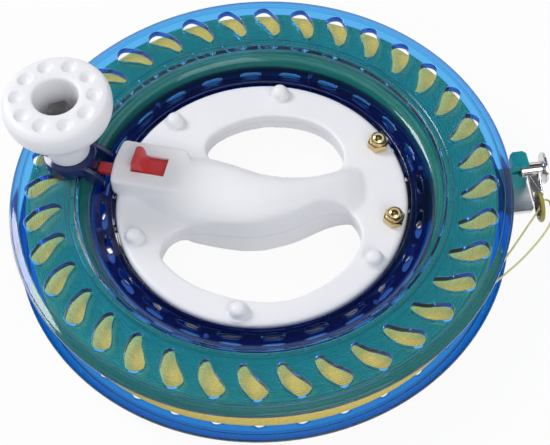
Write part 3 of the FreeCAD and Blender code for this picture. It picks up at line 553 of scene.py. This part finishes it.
def deep_blue_plastic():
    """The same plastic where it is many millimetres thick."""
    material, tree, shader = new_material("deep_blue_plastic")
    add_skin(tree, shader, (0.010, 0.024, 0.12), (0.006, 0.014, 0.08), 60.0, 400.0, 0.08, 0.16, 0.05)
    shader.inputs["IOR"].default_value = 1.49
    shader.inputs["Coat Weight"].default_value = 0.4
    return material


def turn_about_reel(bm, angle):
    """Turns a form made on the X axis to its angle round the reel."""
    bmesh.ops.rotate(bm, cent=(0, 0, 0), matrix=Matrix.Rotation(math.radians(angle), 3, "Z"), verts=bm.verts)


def shift(bm, x, y, z):
    bmesh.ops.translate(bm, vec=(x, y, z), verts=bm.verts)


def swept(points, move):
    """Closed block: a flat outline carried along a straight line."""
    bm = bmesh.new()
    closed_edges(bm, points)
    bmesh.ops.contextual_create(bm, geom=bm.edges[:])
    grown = bmesh.ops.extrude_face_region(bm, geom=bm.faces[:], use_keep_orig=True)
    bmesh.ops.translate(bm, vec=move, verts=verts_of(grown))
    return bm


def plate(outline, thickness):
    """Block over (x, z) points, centred on y = 0."""
    return swept([(x, -thickness / 2.0, z) for x, z in outline], (0, thickness, 0))


boss_mesh = bmesh.new()
lathe(boss_mesh, boss_outline, 64)
shift(boss_mesh, knob_circle, 0, 0)
for side in (-1, 1):
    web = plate(web_outline, web_thickness)
    shift(web, 0, side * web_spread, 0)
    join_into(boss_mesh, web)
turn_about_reel(boss_mesh, knob_angle)
knob_boss = finish_piece("knob_boss", boss_mesh, deep_blue_plastic())
soft_edges(knob_boss, 0.0004)
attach(knob_boss, "reel")
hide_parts("upper_flange")


# Grip
# Two white moulded shells that part at mid height, held by five screws from below: a round
# plate with two finger openings, a palm swell, the lock's housing and blind screw bosses.
grip_high = 21.4
shell_outline = [(0.0, 11.6), (63.0, 11.6), (64.4, 12.4), (64.8, 13.8), (64.8, 19.2), (64.4, 20.6),
                 (63.0, 21.4), (0.0, 21.4)]
shell_gap = 0.08
back_opening = [(-25.2, 31.0), (-17.5, 40.6), (0.0, 46.6), (18.0, 44.6), (31.6, 37.4), (38.6, 24.0),
                (37.2, 14.0), (30.0, 7.2), (18.0, 4.2), (4.0, 5.8), (-10.0, 11.8), (-21.4, 21.2)]
front_opening = [(-46.2, -24.6), (-39.0, -13.2), (-24.0, -14.4), (-5.0, -18.2), (12.0, -15.2), (20.0, -10.6),
                 (29.0, -7.2), (38.4, -9.0), (43.4, -20.0), (40.2, -32.0), (30.0, -43.2), (17.5, -50.4),
                 (5.0, -54.0), (-12.0, -51.4), (-30.0, -43.6), (-41.4, -33.4)]
palm_stations = [
    (-60.0, 15.0, 8.0, 5.2),
    (-53.0, 12.6, 12.6, 10.4),
    (-42.0, 8.0, 17.0, 14.6),
    (-31.0, 4.6, 19.2, 16.9),
    (-21.0, 2.0, 19.5, 18.0),
    (-10.0, -1.6, 18.4, 18.3),
    (0.0, -4.4, 15.6, 18.0),
    (10.0, -4.6, 13.2, 17.0),
    (20.0, -3.4, 12.0, 15.2),
    (29.0, -1.2, 12.4, 12.9),
    (37.0, 1.0, 13.2, 10.2),
    (44.0, 3.0, 14.2, 6.6),
    (49.0, 3.6, 11.0, 3.0),
]
palm_fullness = 2.3
palm_sides = 32
grip_boss_angles = (130.0, 79.0, 197.0, 258.0, 322.5)
grip_boss_circle = 58.6
grip_boss_outline = [(0.0, -1.0), (5.2, -1.0), (5.2, -0.05), (4.5, 0.2), (4.0, 0.8), (3.8, 1.8), (3.6, 2.9),
                     (3.0, 3.9), (1.9, 4.6), (0.0, 4.9)]
housing_inner = 34.0
housing_outer = 64.4
housing_reach = 66.4
housing_half = 11.8
housing_top = 32.8
window_inner = 42.4
window_outer = 57.6
window_half = 5.0
lock_rooms = [
    (window_inner, window_outer, window_half, 30.0, 36.0),
    (34.7, 57.7, 5.6, 22.4, 31.2),
    (50.0, 68.0, 3.1, 22.4, 26.4),
]
first_voxel = 0.9
skin_voxel = 0.75
skin_smoothing = 7
space_voxel = 0.35
race_outline = [(62.4, reel_mid), (66.2, 12.9), (67.5, 12.9), (67.5, 20.1), (66.2, 20.1)]


def white_plastic():
    """White moulded plastic: even, faintly warm and cool patches, satin."""
    material, tree, shader = new_material("white_moulded_plastic")
    add_skin(tree, shader, (0.93, 0.93, 0.965), (0.91, 0.91, 0.95), 35.0, 1500.0, 0.38, 0.46, 0.03)
    shader.inputs["IOR"].default_value = 1.5
    shader.inputs["Subsurface Weight"].default_value = 0.12
    shader.inputs["Subsurface Radius"].default_value = (0.004, 0.0035, 0.004)
    shader.inputs["Subsurface Scale"].default_value = 1.0
    return material


def prism(outline, low, high):
    """Closed block over (x, y) points."""
    bm = swept([(x, y, low) for x, y in outline], (0, 0, high - low))
    bmesh.ops.recalc_face_normals(bm, faces=bm.faces)
    return bm


def fuller(part):
    """Bulges a sine or cosine, so that a round section gets squarer."""
    return math.copysign(abs(part) ** (2.0 / palm_fullness), part)


def palm_mesh():
    """Rounded sections along the bar, joined into one closed form."""
    bm = bmesh.new()
    rings = []
    for x, y, half_width, height in palm_stations:
        points = []
        for k in range(palm_sides):
            turn = 2.0 * math.pi * k / palm_sides
            points.append((x, y + half_width * fuller(math.cos(turn)),
                           reel_mid + height * fuller(math.sin(turn))))
        rings.append(closed_edges(bm, points))
    for ring, ahead in zip(rings, rings[1:]):
        bmesh.ops.bridge_loops(bm, edges=ring + ahead)
    for ring in (rings[0], rings[-1]):
        bmesh.ops.contextual_create(bm, geom=ring)
    bmesh.ops.recalc_face_normals(bm, faces=bm.faces)
    return bm


def with_modifiers(piece):
    """Replaces the piece's mesh by what its modifiers make of it."""
    graph = bpy.context.evaluated_depsgraph_get()
    mesh = bpy.data.meshes.new_from_object(piece.evaluated_get(graph))
    piece.modifiers.clear()
    piece.data = mesh


def scratch_object(name, bm):
    mesh = bpy.data.meshes.new(name)
    bm.to_mesh(mesh)
    bm.free()
    body = bpy.data.objects.new(name, mesh)
    scene.collection.objects.link(body)
    return body


def remesh(piece, voxel, smoothing):
    """Runs the forms together as one skin, then softens the steps between them."""
    skin = piece.modifiers.new("skin", "REMESH")
    skin.mode = "VOXEL"
    skin.voxel_size = voxel
    soften = piece.modifiers.new("soften", "SMOOTH")
    soften.factor = 0.5
    soften.iterations = smoothing
    with_modifiers(piece)


def cut(piece, cutter):
    """Takes a scratch form out of a piece."""
    remove = piece.modifiers.new("cut", "BOOLEAN")
    remove.operation = "DIFFERENCE"
    remove.solver = "EXACT"
    remove.object = cutter
    with_modifiers(piece)
    bpy.data.objects.remove(cutter)


def housing_outline(outer):
    """The lock housing's rounded end and corners, drawn on the X axis."""
    corner = math.sqrt(outer ** 2 - housing_half ** 2)
    side = [(outer, 0.0), (outer - 0.5, 6.5), (corner, housing_half - 1.2), (corner - 1.6, housing_half),
            (housing_inner + 3.5, housing_half), (housing_inner + 1.0, housing_half - 1.0),
            (housing_inner, housing_half - 3.5)]
    return side + [(x, -y) for x, y in side[:0:-1]]


def grip_form():
    """Both shells in one, in millimetres."""
    bm = bmesh.new()
    lathe(bm, shell_outline, round_steps)
    bmesh.ops.remove_doubles(bm, verts=bm.verts, dist=0.001)
    bmesh.ops.recalc_face_normals(bm, faces=bm.faces)
    join_into(bm, palm_mesh())
    for outer, low in ((housing_outer, 14.6), (housing_reach, 23.0)):
        housing = prism(housing_outline(outer), low, housing_top)
        turn_about_reel(housing, knob_angle)
        join_into(bm, housing)
    body = scratch_object("grip_form", bm)
    remesh(body, first_voxel, 0)
    for outline in (back_opening, front_opening):
        cut(body, scratch_object("opening", prism(rounded_loop(outline, 2), -10.0, 50.0)))
    remesh(body, skin_voxel, skin_smoothing)
    return body


def lock_space():
    """Window, carriage pocket and bolt run of the lock, drawn on the X axis."""
    bm = bmesh.new()
    for inner, outer, half, low, high in lock_rooms:
        join_into(bm, prism([(inner, -half), (outer, -half), (outer, half), (inner, half)], low, high))
    turn_about_reel(bm, knob_angle)
    space = scratch_object("lock_space", bm)
    merge = space.modifiers.new("merge", "REMESH")
    merge.mode = "VOXEL"
    merge.voxel_size = space_voxel
    with_modifiers(space)
    return space


def race_space():
    """Ring of space for the balls round the plate's edge."""
    bm = bmesh.new()
    lathe(bm, race_outline, 96, closed=True)
    bmesh.ops.recalc_face_normals(bm, faces=bm.faces)
    return scratch_object("race_space", bm)


def blind_bosses():
    """Five domed screw bosses with a small fillet at the foot."""
    bosses = bmesh.new()
    for angle in grip_boss_angles:
        dome = bmesh.new()
        lathe(dome, [(r, grip_high + z) for r, z in grip_boss_outline], 40)
        turn = math.radians(angle)
        shift(dome, grip_boss_circle * math.cos(turn), grip_boss_circle * math.sin(turn), 0)
        join_into(bosses, dome)
    return bosses


def half_of(form, name, low, high, material, extra=None):
    """The part of the grip between two heights, closed where it is cut."""
    bm = bmesh.new()
    bm.from_mesh(form.data)
    for height, side in ((low, -1.0), (high, 1.0)):
        cut_edges = bmesh.ops.bisect_plane(bm, geom=bm.verts[:] + bm.edges[:] + bm.faces[:], dist=0.0001,
                                           plane_co=(0, 0, height), plane_no=(0, 0, side), clear_outer=True)
        border = [item for item in cut_edges["geom_cut"] if isinstance(item, bmesh.types.BMEdge)]
        bmesh.ops.triangle_fill(bm, use_beauty=True, use_dissolve=False, edges=border)
    if extra:
        join_into(bm, extra)
    return finish_piece(name, bm, material, 50.0)


white_abs = white_plastic()
grip = grip_form()
cut(grip, race_space())
cut(grip, lock_space())
grip_top = half_of(grip, "grip_upper_shell", reel_mid + shell_gap, 60.0, white_abs, blind_bosses())
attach(grip_top, "handle")
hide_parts("grip_top_shell")
grip_bottom = half_of(grip, "grip_lower_shell", 0.0, reel_mid - shell_gap, white_abs)
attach(grip_bottom, "handle")
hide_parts("grip_bottom_shell")
bpy.data.objects.remove(grip)


# Lock slide
# One red moulding: a bolt that points at the knob's webs, the carriage that runs in the
# housing, and a curved thumb piece that stands up through the window.
slide_low = 22.7
slide_top = 30.9
bolt_top = 26.1
thumb_width = 8.6
thumb_outline = [(50.4, 30.0), (57.2, 30.0), (57.4, 33.6), (57.2, 36.8), (56.6, 38.6), (55.6, 39.7), (54.4, 39.9),
                 (53.3, 39.3), (52.6, 37.6), (52.3, 35.0), (51.8, 32.6), (51.0, 31.2)]


def plain_finish(name, *look):
    """Material that is the skin and nothing else."""
    material, tree, shader = new_material(name)
    add_skin(tree, shader, *look)
    return material


def round_off(bm, edges, width, segments=2):
    """Bevels some edges of a mesh under construction."""
    bmesh.ops.bevel(bm, geom=edges, offset=width, offset_type="OFFSET", segments=segments, profile=0.5,
                    affect="EDGES", clamp_overlap=True, material=-1)


def rounded_block(low, high, radius):
    """Block between two corners with rounded edges."""
    bm = bmesh.new()
    bmesh.ops.create_cube(bm, size=1.0)
    size = [b - a for a, b in zip(low, high)]
    bmesh.ops.scale(bm, vec=size, verts=bm.verts)
    shift(bm, *[(a + b) / 2.0 for a, b in zip(low, high)])
    round_off(bm, bm.edges[:], radius, 3)
    return bm


slide_mesh = rounded_block((42.0, -5.3, slide_low), (57.4, 5.3, slide_top), 0.5)
join_into(slide_mesh, rounded_block((50.0, -2.8, slide_low), (74.6, 2.8, bolt_top), 0.9))
thumb = plate(thumb_outline, thumb_width)
round_off(thumb, [edge for edge in thumb.edges if abs(edge.verts[0].co.y - edge.verts[1].co.y) < 0.001], 0.4)
join_into(slide_mesh, thumb)
turn_about_reel(slide_mesh, knob_angle)
red_plastic = plain_finish("red_moulded_plastic", (0.72, 0.060, 0.070), (0.62, 0.045, 0.055),
                           90.0, 1200.0, 0.26, 0.36, 0.04)
lock_slide = finish_piece("lock_slide_moulding", slide_mesh, red_plastic)
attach(lock_slide, "lock")
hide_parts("lock_slide")


# Winding knob
# White moulded mushroom knob with ten finger dimples round a deep well. It turns on the
# shank of the bolt whose head shows in the well.
knob_turn = math.radians(knob_angle)
knob_axis = (knob_circle * math.cos(knob_turn), knob_circle * math.sin(knob_turn))
knob_steps = 200
knob_outline = [(4.05, 34.3), (9.0, 34.3), (9.6, 34.9), (9.6, 50.6), (9.8, 52.2), (13.6, 53.2), (18.2, 55.2),
                (21.6, 58.6), (23.2, 62.4), (23.7, 66.4), (23.4, 69.6), (22.0, 71.4), (19.8, 72.1), (16.6, 72.3),
                (12.6, 72.3), (10.6, 72.1), (9.8, 71.4), (9.5, 69.8), (9.2, 54.6), (4.05, 54.6)]
dimple_count = 10
dimple_circle = 16.5
dimple_radius = 3.3
dimple_depth = 2.6
dimple_fullness = 0.7
dimple_turn = -1.5
dimple_above = 60.0


def soft_profile(points, rounds):
    """Cuts the corners of an open outline and keeps its ends."""
    for _ in range(rounds):
        softer = [points[0]]
        for (r0, z0), (r1, z1) in zip(points, points[1:]):
            softer.append((0.8 * r0 + 0.2 * r1, 0.8 * z0 + 0.2 * z1))
            softer.append((0.2 * r0 + 0.8 * r1, 0.2 * z0 + 0.8 * z1))
        softer.append(points[-1])
        points = softer
    return points


def evenly(points, gap):
    """The same outline with no step longer than the gap."""
    dense = [points[0]]
    for (r0, z0), (r1, z1) in zip(points, points[1:]):
        count = max(1, math.ceil(math.hypot(r1 - r0, z1 - z0) / gap))
        for k in range(1, count + 1):
            dense.append((r0 + (r1 - r0) * k / count, z0 + (z1 - z0) * k / count))
    return dense


knob_mesh = bmesh.new()
lathe(knob_mesh, evenly(soft_profile(knob_outline, 3), 0.5), knob_steps, closed=True)
for vert in knob_mesh.verts:
    if vert.co.z < dimple_above:
        continue
    for i in range(dimple_count):
        turn = math.radians(dimple_turn + 360.0 / dimple_count * i)
        spot = Vector((dimple_circle * math.cos(turn), dimple_circle * math.sin(turn)))
        away = (vert.co.xy - spot).length / dimple_radius
        if away < 1.0:
            vert.co.z -= dimple_depth * (1.0 - away ** 2) ** dimple_fullness
shift(knob_mesh, knob_axis[0], knob_axis[1], 0)
winding_knob = finish_piece("winding_knob_moulding", knob_mesh, white_abs, 60.0)
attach(winding_knob, "knob")
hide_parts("winding_knob")


# Knob axle
# Dark steel hex bolt and washer in the knob's well, screwed into a brass insert in the boss.
# The knob turns on the bolt's shank.
axle_head_low = 56.1
axle_head_high = 61.4
axle_head_flats = 11.6
axle_head_turn = 12.0
head_dish_outline = [(0.0, 61.42), (3.6, 61.42), (4.0, 61.7), (4.8, 61.7), (5.1, 61.2), (0.0, 61.2)]
shank_outline = [(0.0, 28.4), (3.9, 28.4), (4.0, 28.6), (4.0, 56.2), (0.0, 56.2)]


def steel(name, colour, shade, smooth, rough, stretch=(1.0, 1.0, 1.0), patch=120.0, grain=900.0, bump=0.1):
    """Metal with fine tool marks."""
    material, tree, shader = new_material(name)
    add_skin(tree, shader, colour, shade, patch, grain, smooth, rough, bump, stretch)
    shader.inputs["Metallic"].default_value = 1.0
    return material


def hexagon(across_flats, turn):
    """Six corners round the origin, the first at the turn."""
    radius = across_flats / math.sqrt(3.0)
    angles = [math.radians(turn + 60.0 * k) for k in range(6)]
    return [(radius * math.cos(angle), radius * math.sin(angle)) for angle in angles]


def edges_at(bm, height):
    """The edges that lie flat at one height."""
    return [edge for edge in bm.edges if all(abs(vert.co.z - height) < 0.001 for vert in edge.verts)]


dark_steel = steel("dark_steel", (0.30, 0.29, 0.30), (0.15, 0.145, 0.15), 0.22, 0.38, bump=0.3)
head_mesh = prism(hexagon(axle_head_flats, axle_head_turn), axle_head_low, axle_head_high)
round_off(head_mesh, edges_at(head_mesh, axle_head_high), 0.7)
for outline in (head_dish_outline, shank_outline):
    turned = bmesh.new()
    lathe(turned, outline, 48)
    join_into(head_mesh, turned)
shift(head_mesh, knob_axis[0], knob_axis[1], 0)
axle_bolt = finish_piece("knob_axle_hex_bolt", head_mesh, dark_steel)
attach(axle_bolt, "reel")
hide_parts("knob_axle_bolt")


# Acorn nuts
# Two yellow brass cap nuts on the grip's plate: a hexagon with a chamfered foot and a
# polished dome. They hold the guide's arm from above.
guide_angle = 4.6
nut_out = 55.6
nut_spacing = 41.0
nut_flats = 8.4
nut_turn = 10.0
nut_low = 21.4
nut_high = 25.3
nut_dome_outline = [(0.0, 3.0), (3.7, 3.0), (3.7, 4.6), (3.5, 5.6), (2.9, 6.5), (1.9, 7.2), (0.9, 7.5), (0.0, 7.6)]


def on_guide(x, y):
    """A point drawn along the guide's own X axis, turned to its place."""
    turn = math.radians(guide_angle)
    return (x * math.cos(turn) - y * math.sin(turn), x * math.sin(turn) + y * math.cos(turn))


nut_mesh = bmesh.new()
for side in (-1, 1):
    body = prism(hexagon(nut_flats, nut_turn), nut_low, nut_high)
    round_off(body, edges_at(body, nut_low) + edges_at(body, nut_high), 0.45)
    dome = bmesh.new()
    lathe(dome, [(r, nut_low + z) for r, z in nut_dome_outline], 32)
    join_into(body, dome)
    spot = on_guide(nut_out, side * nut_spacing / 2.0)
    shift(body, spot[0], spot[1], 0)
    join_into(nut_mesh, body)
brass = steel("yellow_brass", (0.78, 0.62, 0.34), (0.64, 0.48, 0.24), 0.10, 0.20)
acorn_nuts = finish_piece("brass_acorn_nuts", nut_mesh, brass)
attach(acorn_nuts, "handle")
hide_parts("guide_acorn_nuts")


# Guide arm and its bolts
# A brushed aluminium strip, bent down from the grip's underside and out past the rim, held
# by two hex bolts. Its edges are broken by tumbling.
def softened_copy(node, name, width, material):
    """Copy of a CAD piece with its flat faces whole again and its edges rounded."""
    bm = bmesh.new()
    bm.from_mesh(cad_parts[node].data)
    bmesh.ops.scale(bm, vec=(1 / MM, 1 / MM, 1 / MM), verts=bm.verts)
    bmesh.ops.remove_doubles(bm, verts=bm.verts, dist=0.002)
    bmesh.ops.dissolve_limit(bm, angle_limit=math.radians(2.0), verts=bm.verts, edges=bm.edges)
    piece = finish_piece(name, bm, material)
    soft_edges(piece, width)
    return piece


aluminium = steel("brushed_aluminium", (0.78, 0.78, 0.80), (0.66, 0.66, 0.69), 0.30, 0.46,
                  (0.05, 1.0, 1.0), 900.0, 2500.0, 0.25)
guide_arm = softened_copy("guide_arm", "guide_arm_strip", 0.00035, aluminium)
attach(guide_arm, "handle")
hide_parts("guide_arm")
bolt_steel = steel("zinc_plated_steel", (0.62, 0.62, 0.64), (0.50, 0.50, 0.53), 0.22, 0.36)
arm_bolts = softened_copy("guide_arm_bolts", "guide_arm_hex_bolts", 0.0003, bolt_steel)
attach(arm_bolts, "handle")
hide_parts("guide_arm_bolts")


# Guide block
# A teal anodised block on the arm's end, with one chamfered side and a seat for the barrel.
# The guide's pin passes through it.
teal_anodised, teal_tree, teal_shader = new_material("teal_anodised")
add_skin(teal_tree, teal_shader, (0.005, 0.36, 0.37), (0.004, 0.29, 0.31),
         160.0, 1100.0, 0.34, 0.46, 0.06)
teal_shader.inputs["Metallic"].default_value = 0.25
guide_block = softened_copy("guide_block", "guide_block_teal", 0.00035, teal_anodised)
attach(guide_block, "handle")
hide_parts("guide_block")


# Guide barrel and pin
# A chromed turned roller on the block's end, held by a polished steel pin with a wide domed
# head that faces outwards.
barrel_y = 2.4
barrel_z = 13.6
barrel_start = 117.45
barrel_outline = [(1.65, 0.0), (2.9, 0.0), (3.3, 0.4), (3.3, 2.7), (3.05, 2.9), (3.05, 3.3), (3.3, 3.5),
                  (3.3, 9.7), (3.0, 10.1), (1.65, 10.1)]
pin_start = 113.6
pin_outline = [(0.0, 4.2), (1.4, 4.2), (1.6, 4.4), (1.6, 14.0), (6.9, 14.0), (7.2, 14.3), (7.2, 15.0), (6.8, 15.4),
               (5.6, 15.9), (3.6, 16.3), (1.6, 16.5), (0.0, 16.5)]
chrome = steel("chrome", (0.82, 0.82, 0.84), (0.74, 0.74, 0.77), 0.05, 0.12)


def along_x(bm, x, y, z):
    """Lays a form made along Z along the guide's X axis and puts it in place."""
    bmesh.ops.rotate(bm, cent=(0, 0, 0), matrix=Matrix.Rotation(math.radians(90.0), 3, "Y"), verts=bm.verts)
    shift(bm, x, y, z)
    turn_about_reel(bm, guide_angle)


barrel_mesh = bmesh.new()
lathe(barrel_mesh, barrel_outline, 48, closed=True)
along_x(barrel_mesh, barrel_start, barrel_y, barrel_z)
guide_barrel = finish_piece("guide_barrel_roller", barrel_mesh, chrome)
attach(guide_barrel, "handle")
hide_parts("guide_barrel")

pin_mesh = bmesh.new()
lathe(pin_mesh, pin_outline, 48)
along_x(pin_mesh, pin_start, barrel_y, barrel_z)
polished_steel = steel("polished_steel", (0.74, 0.73, 0.75), (0.62, 0.61, 0.64), 0.16, 0.28)
guide_pin = finish_piece("guide_pin_domed", pin_mesh, polished_steel)
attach(guide_pin, "handle")
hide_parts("guide_pin")


# Guide strap, wire legs and eye
# A stamped dark strap and four chromed wires in two V's carry the eye: a yellowed ring with
# a dark glazed liner that the line runs through.
drop_angle = math.radians(21.8)
eye_station = 123.6
eye_reach = 17.5
eye_radius = 6.2
eye_half = 0.95
liner_radius = 4.7
liner_half_width = 0.7
liner_half_height = 1.1
leg_radius = 0.38
leg_offset = 2.6
leg_root = (-0.6, 2.6, 2.0)
leg_spread = 1.1
leg_end_angle = math.radians(52.0)

strap_steel = steel("strap_steel", (0.40, 0.40, 0.42), (0.26, 0.26, 0.28), 0.26, 0.40)
guide_strap = softened_copy("guide_strap", "guide_strap_stamped", 0.0002, strap_steel)
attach(guide_strap, "handle")
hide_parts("guide_strap")


def eye_point(x, along, across):
    """A point in the eye's hanging plane: along the drop from the barrel's axis, and across it."""
    y = barrel_y - along * math.cos(drop_angle) - across * math.sin(drop_angle)
    z = barrel_z - along * math.sin(drop_angle) + across * math.cos(drop_angle)
    spot = on_guide(x, y)
    return Vector((spot[0], spot[1], z))


legs_mesh = bmesh.new()
for offset in (-leg_offset, leg_offset):
    for side in (-1, 1):
        start = eye_point(eye_station + leg_root[0] + offset, leg_root[1], leg_root[2])
        end = eye_point(eye_station + side * leg_spread, eye_reach - eye_radius * math.cos(leg_end_angle),
                        side * eye_radius * math.sin(leg_end_angle))
        leg = bmesh.new()
        bmesh.ops.create_cone(leg, cap_ends=True, segments=12, radius1=leg_radius, radius2=leg_radius,
                              depth=(end - start).length)
        turn = Vector((0, 0, 1)).rotation_difference(end - start).to_matrix()
        bmesh.ops.rotate(leg, cent=(0, 0, 0), matrix=turn, verts=leg.verts)
        middle = (start + end) / 2.0
        shift(leg, middle.x, middle.y, middle.z)
        join_into(legs_mesh, leg)
guide_legs = finish_piece("guide_wire_legs", legs_mesh, chrome)
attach(guide_legs, "handle")
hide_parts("guide_legs")


def hung_ring(radius, half_width, half_height, sides=16):
    """Ring of rounded section, hung in the eye's place."""
    turns = [2.0 * math.pi * k / sides for k in range(sides)]
    bm = bmesh.new()
    lathe(bm, [(radius + half_width * math.cos(turn), half_height * math.sin(turn)) for turn in turns],
          56, closed=True)
    along_x(bm, eye_station, barrel_y - eye_reach * math.cos(drop_angle),
            barrel_z - eye_reach * math.sin(drop_angle))
    return bm


ring_lacquer = plain_finish("yellow_lacquer_ring", (0.46, 0.38, 0.045), (0.36, 0.28, 0.03),
                            200.0, 1500.0, 0.22, 0.34, 0.06)
guide_eye = finish_piece("guide_eye_ring", hung_ring(eye_radius, eye_half, eye_half), ring_lacquer)
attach(guide_eye, "handle")
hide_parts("guide_eye")

glazed_liner = plain_finish("dark_glazed_liner", (0.11, 0.045, 0.055), (0.06, 0.028, 0.04),
                            260.0, 1500.0, 0.10, 0.2, 0.04)
liner_mesh = hung_ring(liner_radius, liner_half_width, liner_half_height)
eye_liner = finish_piece("guide_eye_liner", liner_mesh, glazed_liner)
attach(eye_liner, "handle")
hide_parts("guide_eye_insert")


# Ball race, screws, washer and insert
# Small turned and moulded pieces that keep their CAD shape: 24 steel balls in a nylon cage, the flange and shell
# screws, the axle's washer and its brass insert. The balls are dark and the cage black as painted shade for the
# dark gap round the grip.
cad_finishes = {
    # Balls and cage are darkened as painted shade for the dark gap between grip and reel.
    "bearing_balls": steel("ball_steel", (0.34, 0.34, 0.36), (0.26, 0.26, 0.28), 0.10, 0.18),
    "ball_cage": plain_finish("nylon_painted_shade_black", (0.020, 0.021, 0.026), (0.014, 0.015, 0.020),
                              110.0, 900.0, 0.40, 0.52, 0.05),
    "flange_screws": bolt_steel,
    "grip_shell_screws": bolt_steel,
    "knob_axle_washer": dark_steel,
    "knob_axle_insert": brass,
}
for node, finish in cad_finishes.items():
    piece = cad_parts[node]
    piece.data.materials.clear()
    piece.data.materials.append(finish)


# Floor, light and background
# A plain white table and a white room. The background is plain white to the eye, and in
# reflections and through the clear plastic, while the lamps keep the object at a plain level.
floor_half = 3000.0
floor_share = 0.93
room_stops = [(0.02, 0.75), (0.06, 0.05), (0.22, 0.08), (0.32, 0.9), (0.60, 1.0), (0.73, 0.05), (0.95, 0.05),
              (1.0, 0.5)]


def floor_finish():
    """White table that is nearly plain white to the eye, and matt to the lamps."""
    material, tree, shader = new_material("white_table")
    add_skin(tree, shader, (0.86, 0.86, 0.86), (0.84, 0.84, 0.84), 4.0, 300.0, 0.6, 0.7, 0.02)
    shader.inputs["Specular IOR Level"].default_value = 0.1
    glow = add_node(tree, "Emission", {"Strength": 1.0})
    rays = add_node(tree, "LightPath")
    seen = add_node(tree, "Math", operation="MAXIMUM")
    any_view = add_node(tree, "Math", operation="MAXIMUM")
    share = add_node(tree, "Math", {1: floor_share}, "MULTIPLY")
    mix = add_node(tree, "MixShader")
    wire(tree, rays, "Is Camera Ray", seen, 0)
    wire(tree, rays, "Is Glossy Ray", seen, 1)
    wire(tree, seen, "Value", any_view, 0)
    wire(tree, rays, "Is Transmission Ray", any_view, 1)
    wire(tree, any_view, "Value", share, 0)
    wire(tree, share, "Value", mix, "Fac")
    wire(tree, shader, "BSDF", mix, 1)
    wire(tree, glow, "Emission", mix, 2)
    wire(tree, mix, "Shader", tree.nodes["Material Output"], "Surface")
    return material


floor_mesh = bmesh.new()
bmesh.ops.create_grid(floor_mesh, x_segments=2, y_segments=2, size=floor_half)
floor = finish_piece("floor", floor_mesh, floor_finish())


def white_room():
    """White to the camera and through clear plastic, a softer grey as a source of light. In
    reflections it is white with a dark band above the horizon, which draws edges in metal."""
    world = bpy.data.worlds.new("white_room")
    scene.world = world
    world.use_nodes = True
    tree = world.node_tree
    tree.nodes.clear()
    soft = add_node(tree, "Background", {"Color": (0.96, 0.97, 1.0, 1.0), "Strength": 0.46})
    white = add_node(tree, "Background", {"Color": (1.0, 1.0, 1.0, 1.0), "Strength": 1.0})
    studio = add_node(tree, "Background")
    direction = add_node(tree, "TexCoord")
    height = add_node(tree, "SeparateXYZ")
    band = add_node(tree, "ValToRGB")
    fill_ramp(band, [(position, (level, level, level)) for position, level in room_stops])
    rays = add_node(tree, "LightPath")
    seen = add_node(tree, "Math", operation="MAXIMUM")
    view_mix = add_node(tree, "MixShader")
    gloss_mix = add_node(tree, "MixShader")
    result = add_node(tree, "OutputWorld")
    wire(tree, direction, "Generated", height, "Vector")
    wire(tree, height, "Z", band, "Fac")
    wire(tree, band, "Color", studio, "Color")
    wire(tree, rays, "Is Camera Ray", seen, 0)
    wire(tree, rays, "Is Transmission Ray", seen, 1)
    wire(tree, rays, "Is Glossy Ray", gloss_mix, "Fac")
    wire(tree, soft, "Background", gloss_mix, 1)
    wire(tree, studio, "Background", gloss_mix, 2)
    wire(tree, seen, "Value", view_mix, "Fac")
    wire(tree, gloss_mix, "Shader", view_mix, 1)
    wire(tree, white, "Background", view_mix, 2)
    wire(tree, view_mix, "Shader", result, "Surface")


def lamp(name, place, aim, size, power):
    """Square soft box that looks at a point."""
    light = bpy.data.lights.new(name, "AREA")
    light.shape = "SQUARE"
    light.size = size
    light.energy = power
    holder = bpy.data.objects.new(name, light)
    holder.location = place
    holder.rotation_euler = (Vector(aim) - Vector(place)).to_track_quat("-Z", "Y").to_euler()
    scene.collection.objects.link(holder)


white_room()
lamp("front_light", (0.30, -0.80, 0.75), (0.0, 0.0, 0.0), 0.8, 3.8)
lamp("back_light", (-0.85, 0.45, 0.95), (0.0, 0.0, 0.0), 0.45, 8.0)

scene.view_settings.view_transform = "Standard"
